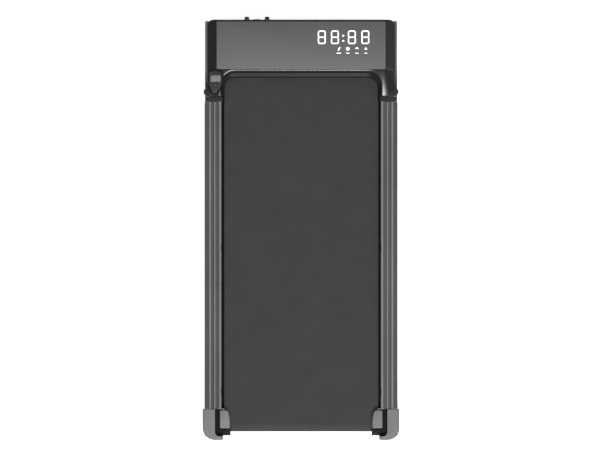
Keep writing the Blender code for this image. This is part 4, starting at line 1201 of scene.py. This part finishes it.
def keyShape(low, high):
    shape = newBox(low, high, corner=remote["keyCorner"], steps=6)
    topZ = (high.z - 0.01) * mm
    rims = [edge for edge in sharpEdges(shape, 60) if all(vert.co.z > topZ for vert in edge.verts)]
    roundEdges(shape, rims, remote["keyEdge"], 3)
    return shape


addPiece("remoteCradle", [cradleShape()], "rubber", stands=["remote_cradle"])
addPiece("remoteShell", [remoteShape()], "remoteShell", "remote", ["remote_body"], smooth=40)
addPiece("remoteRibs", remoteRibs(), "remoteShell", "remote")
addPiece("startKey", [keyShape(startLow, startHigh)], "keyRubber", "remote_start_key", ["remote_start_key"])
addPiece("speedKey", [keyShape(speedLow, speedHigh)], "remoteShell", "remote_speed_key", ["remote_speed_key"])


def speedMarks():  # a plus at the front end of the key and a minus at the rear
    middle = (speedLow.x + speedHigh.x) / 2
    top = speedHigh.z
    half, reach = 0.4, 2.0
    plusY, minusY = speedHigh.y - 4.5, speedLow.y + 4.5
    return [
        newBox((middle - reach, plusY - half, top - 0.5), (middle + reach, plusY + half, top + 0.12)),
        newBox((middle - half, plusY - reach, top - 0.5), (middle + half, plusY + reach, top + 0.1)),
        newBox((middle - reach, minusY - half, top - 0.5), (middle + reach, minusY + half, top + 0.12)),
    ]


addPiece("speedMarks", speedMarks(), "keyRubber", "remote_speed_key")
print("remote made")


# parts that keep their shape and get a finish

kept = {
    "steelPaint": [
        "frame_side_left", "frame_side_right", "cross_front", "cross_middle", "cross_rear", "motor_body",
        "motor_bracket", "base_pan",
    ],
    "steelZinc": [
        "front_roller", "rear_roller", "front_axle", "rear_axle", "front_bearing_left", "front_bearing_right",
        "rear_bearing_left", "rear_bearing_right", "motor_shaft", "motor_flywheel",
    ],
    "castAluminium": ["roller_pulley", "motor_pulley", "controller"],
    "rubber": ["drive_belt", "deck_cushion_left", "deck_cushion_right"],
    "deckBoard": ["deck_board"],
    "circuit": ["display_board"],
}
ease = dict(width=0.4, angle=35)
for finish, names in kept.items():
    for name in names:
        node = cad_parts[name]
        node.data.materials.clear()
        node.data.materials.append(finishes[finish])
        weld = node.modifiers.new("weld", "WELD")
        weld.merge_threshold = 0.01 * mm
        soften = node.modifiers.new("soften", "BEVEL")
        soften.width = ease["width"] * mm
        soften.segments = 2
        soften.limit_method = "ANGLE"
        soften.angle_limit = math.radians(ease["angle"])


# screws under the pan

panLow, panHigh = nodeBox("base_pan")
panScrew = dict(
    radius=4, height=1.6, inset=14, seat=20.2, rows=(0.08, 0.5, 0.92), columns=(-1, -0.33, 0.33, 1),
)


def panScrews():
    shapes = []
    half = panHigh.x - panScrew["inset"]
    for row in panScrew["rows"]:
        for column in panScrew["columns"]:
            if abs(column) < 1 and row == 0.5:
                continue
            spot = (half * column, panLow.y + (panHigh.y - panLow.y) * row, panScrew["seat"])
            shapes.append(crossScrew(spot, panScrew["radius"], panScrew["height"], 25 * column))
    return shapes


addPiece("panScrews", panScrews(), "steelZinc")
print("inner parts finished")


# floor, lights and camera

studio = dict(
    floor=0.9, glow=0.55, sky=0.62, cameraX=-3, cameraY=9, lens=1000, sensor=36,
    view=1598, viewHeight=100,  # the view's width, and the height of the plane where it is so wide
)


def addFloor():
    shape = bmesh.new()
    bmesh.ops.create_grid(shape, x_segments=1, y_segments=1, size=12)
    mesh = bpy.data.meshes.new("floor")
    shape.to_mesh(mesh)
    shape.free()
    material = bpy.data.materials.new("paleFloor")
    material.use_nodes = True
    shader = material.node_tree.nodes["Principled BSDF"]
    setSockets(material, shader, {
        "Base Color": (*grey(studio["floor"]), 1), "Roughness": 0.9, "Specular IOR Level": 0.1,
        "Emission Color": (*grey(1.0), 1), "Emission Strength": studio["glow"],
    })
    mesh.materials.append(material)
    newObject("floor", mesh)


def addLight(name, place, aim, size, power):
    data = bpy.data.lights.new(name, "AREA")
    data.shape = "RECTANGLE"
    data.size, data.size_y = size
    data.energy = power
    light = newObject(name, data)
    light.location = place
    light.rotation_euler = (Vector(aim) - Vector(place)).to_track_quat("-Z", "Y").to_euler()


def addStudio():
    addFloor()
    world = bpy.data.worlds.new("room")
    world.use_nodes = True
    back = world.node_tree.nodes["Background"]
    back.inputs["Color"].default_value = (*grey(1.0), 1)
    back.inputs["Strength"].default_value = studio["sky"]
    bpy.context.scene.world = world
    addLight("ceilingSoftbox", (0, 0, 3.2), (0, 0, 0), (3.4, 3.8), 40)
    addLight("rightSoftbox", (5.4, -0.4, 3.4), (0, 0.1, 0), (1.6, 4.4), 55)
    addLight("rearSoftbox", (0.8, -5.0, 5.0), (0, 0.3, 0), (2.0, 0.75), 500)
    data = bpy.data.cameras.new("camera")
    data.lens = studio["lens"]
    data.sensor_width = studio["sensor"]
    data.clip_end = 200
    camera = newObject("camera", data)
    distance = studio["view"] * studio["lens"] / studio["sensor"]
    camera.location = Vector((studio["cameraX"], studio["cameraY"], studio["viewHeight"] + distance)) * mm
    bpy.context.scene.camera = camera
    bpy.context.scene.view_settings.view_transform = "Standard"


addStudio()
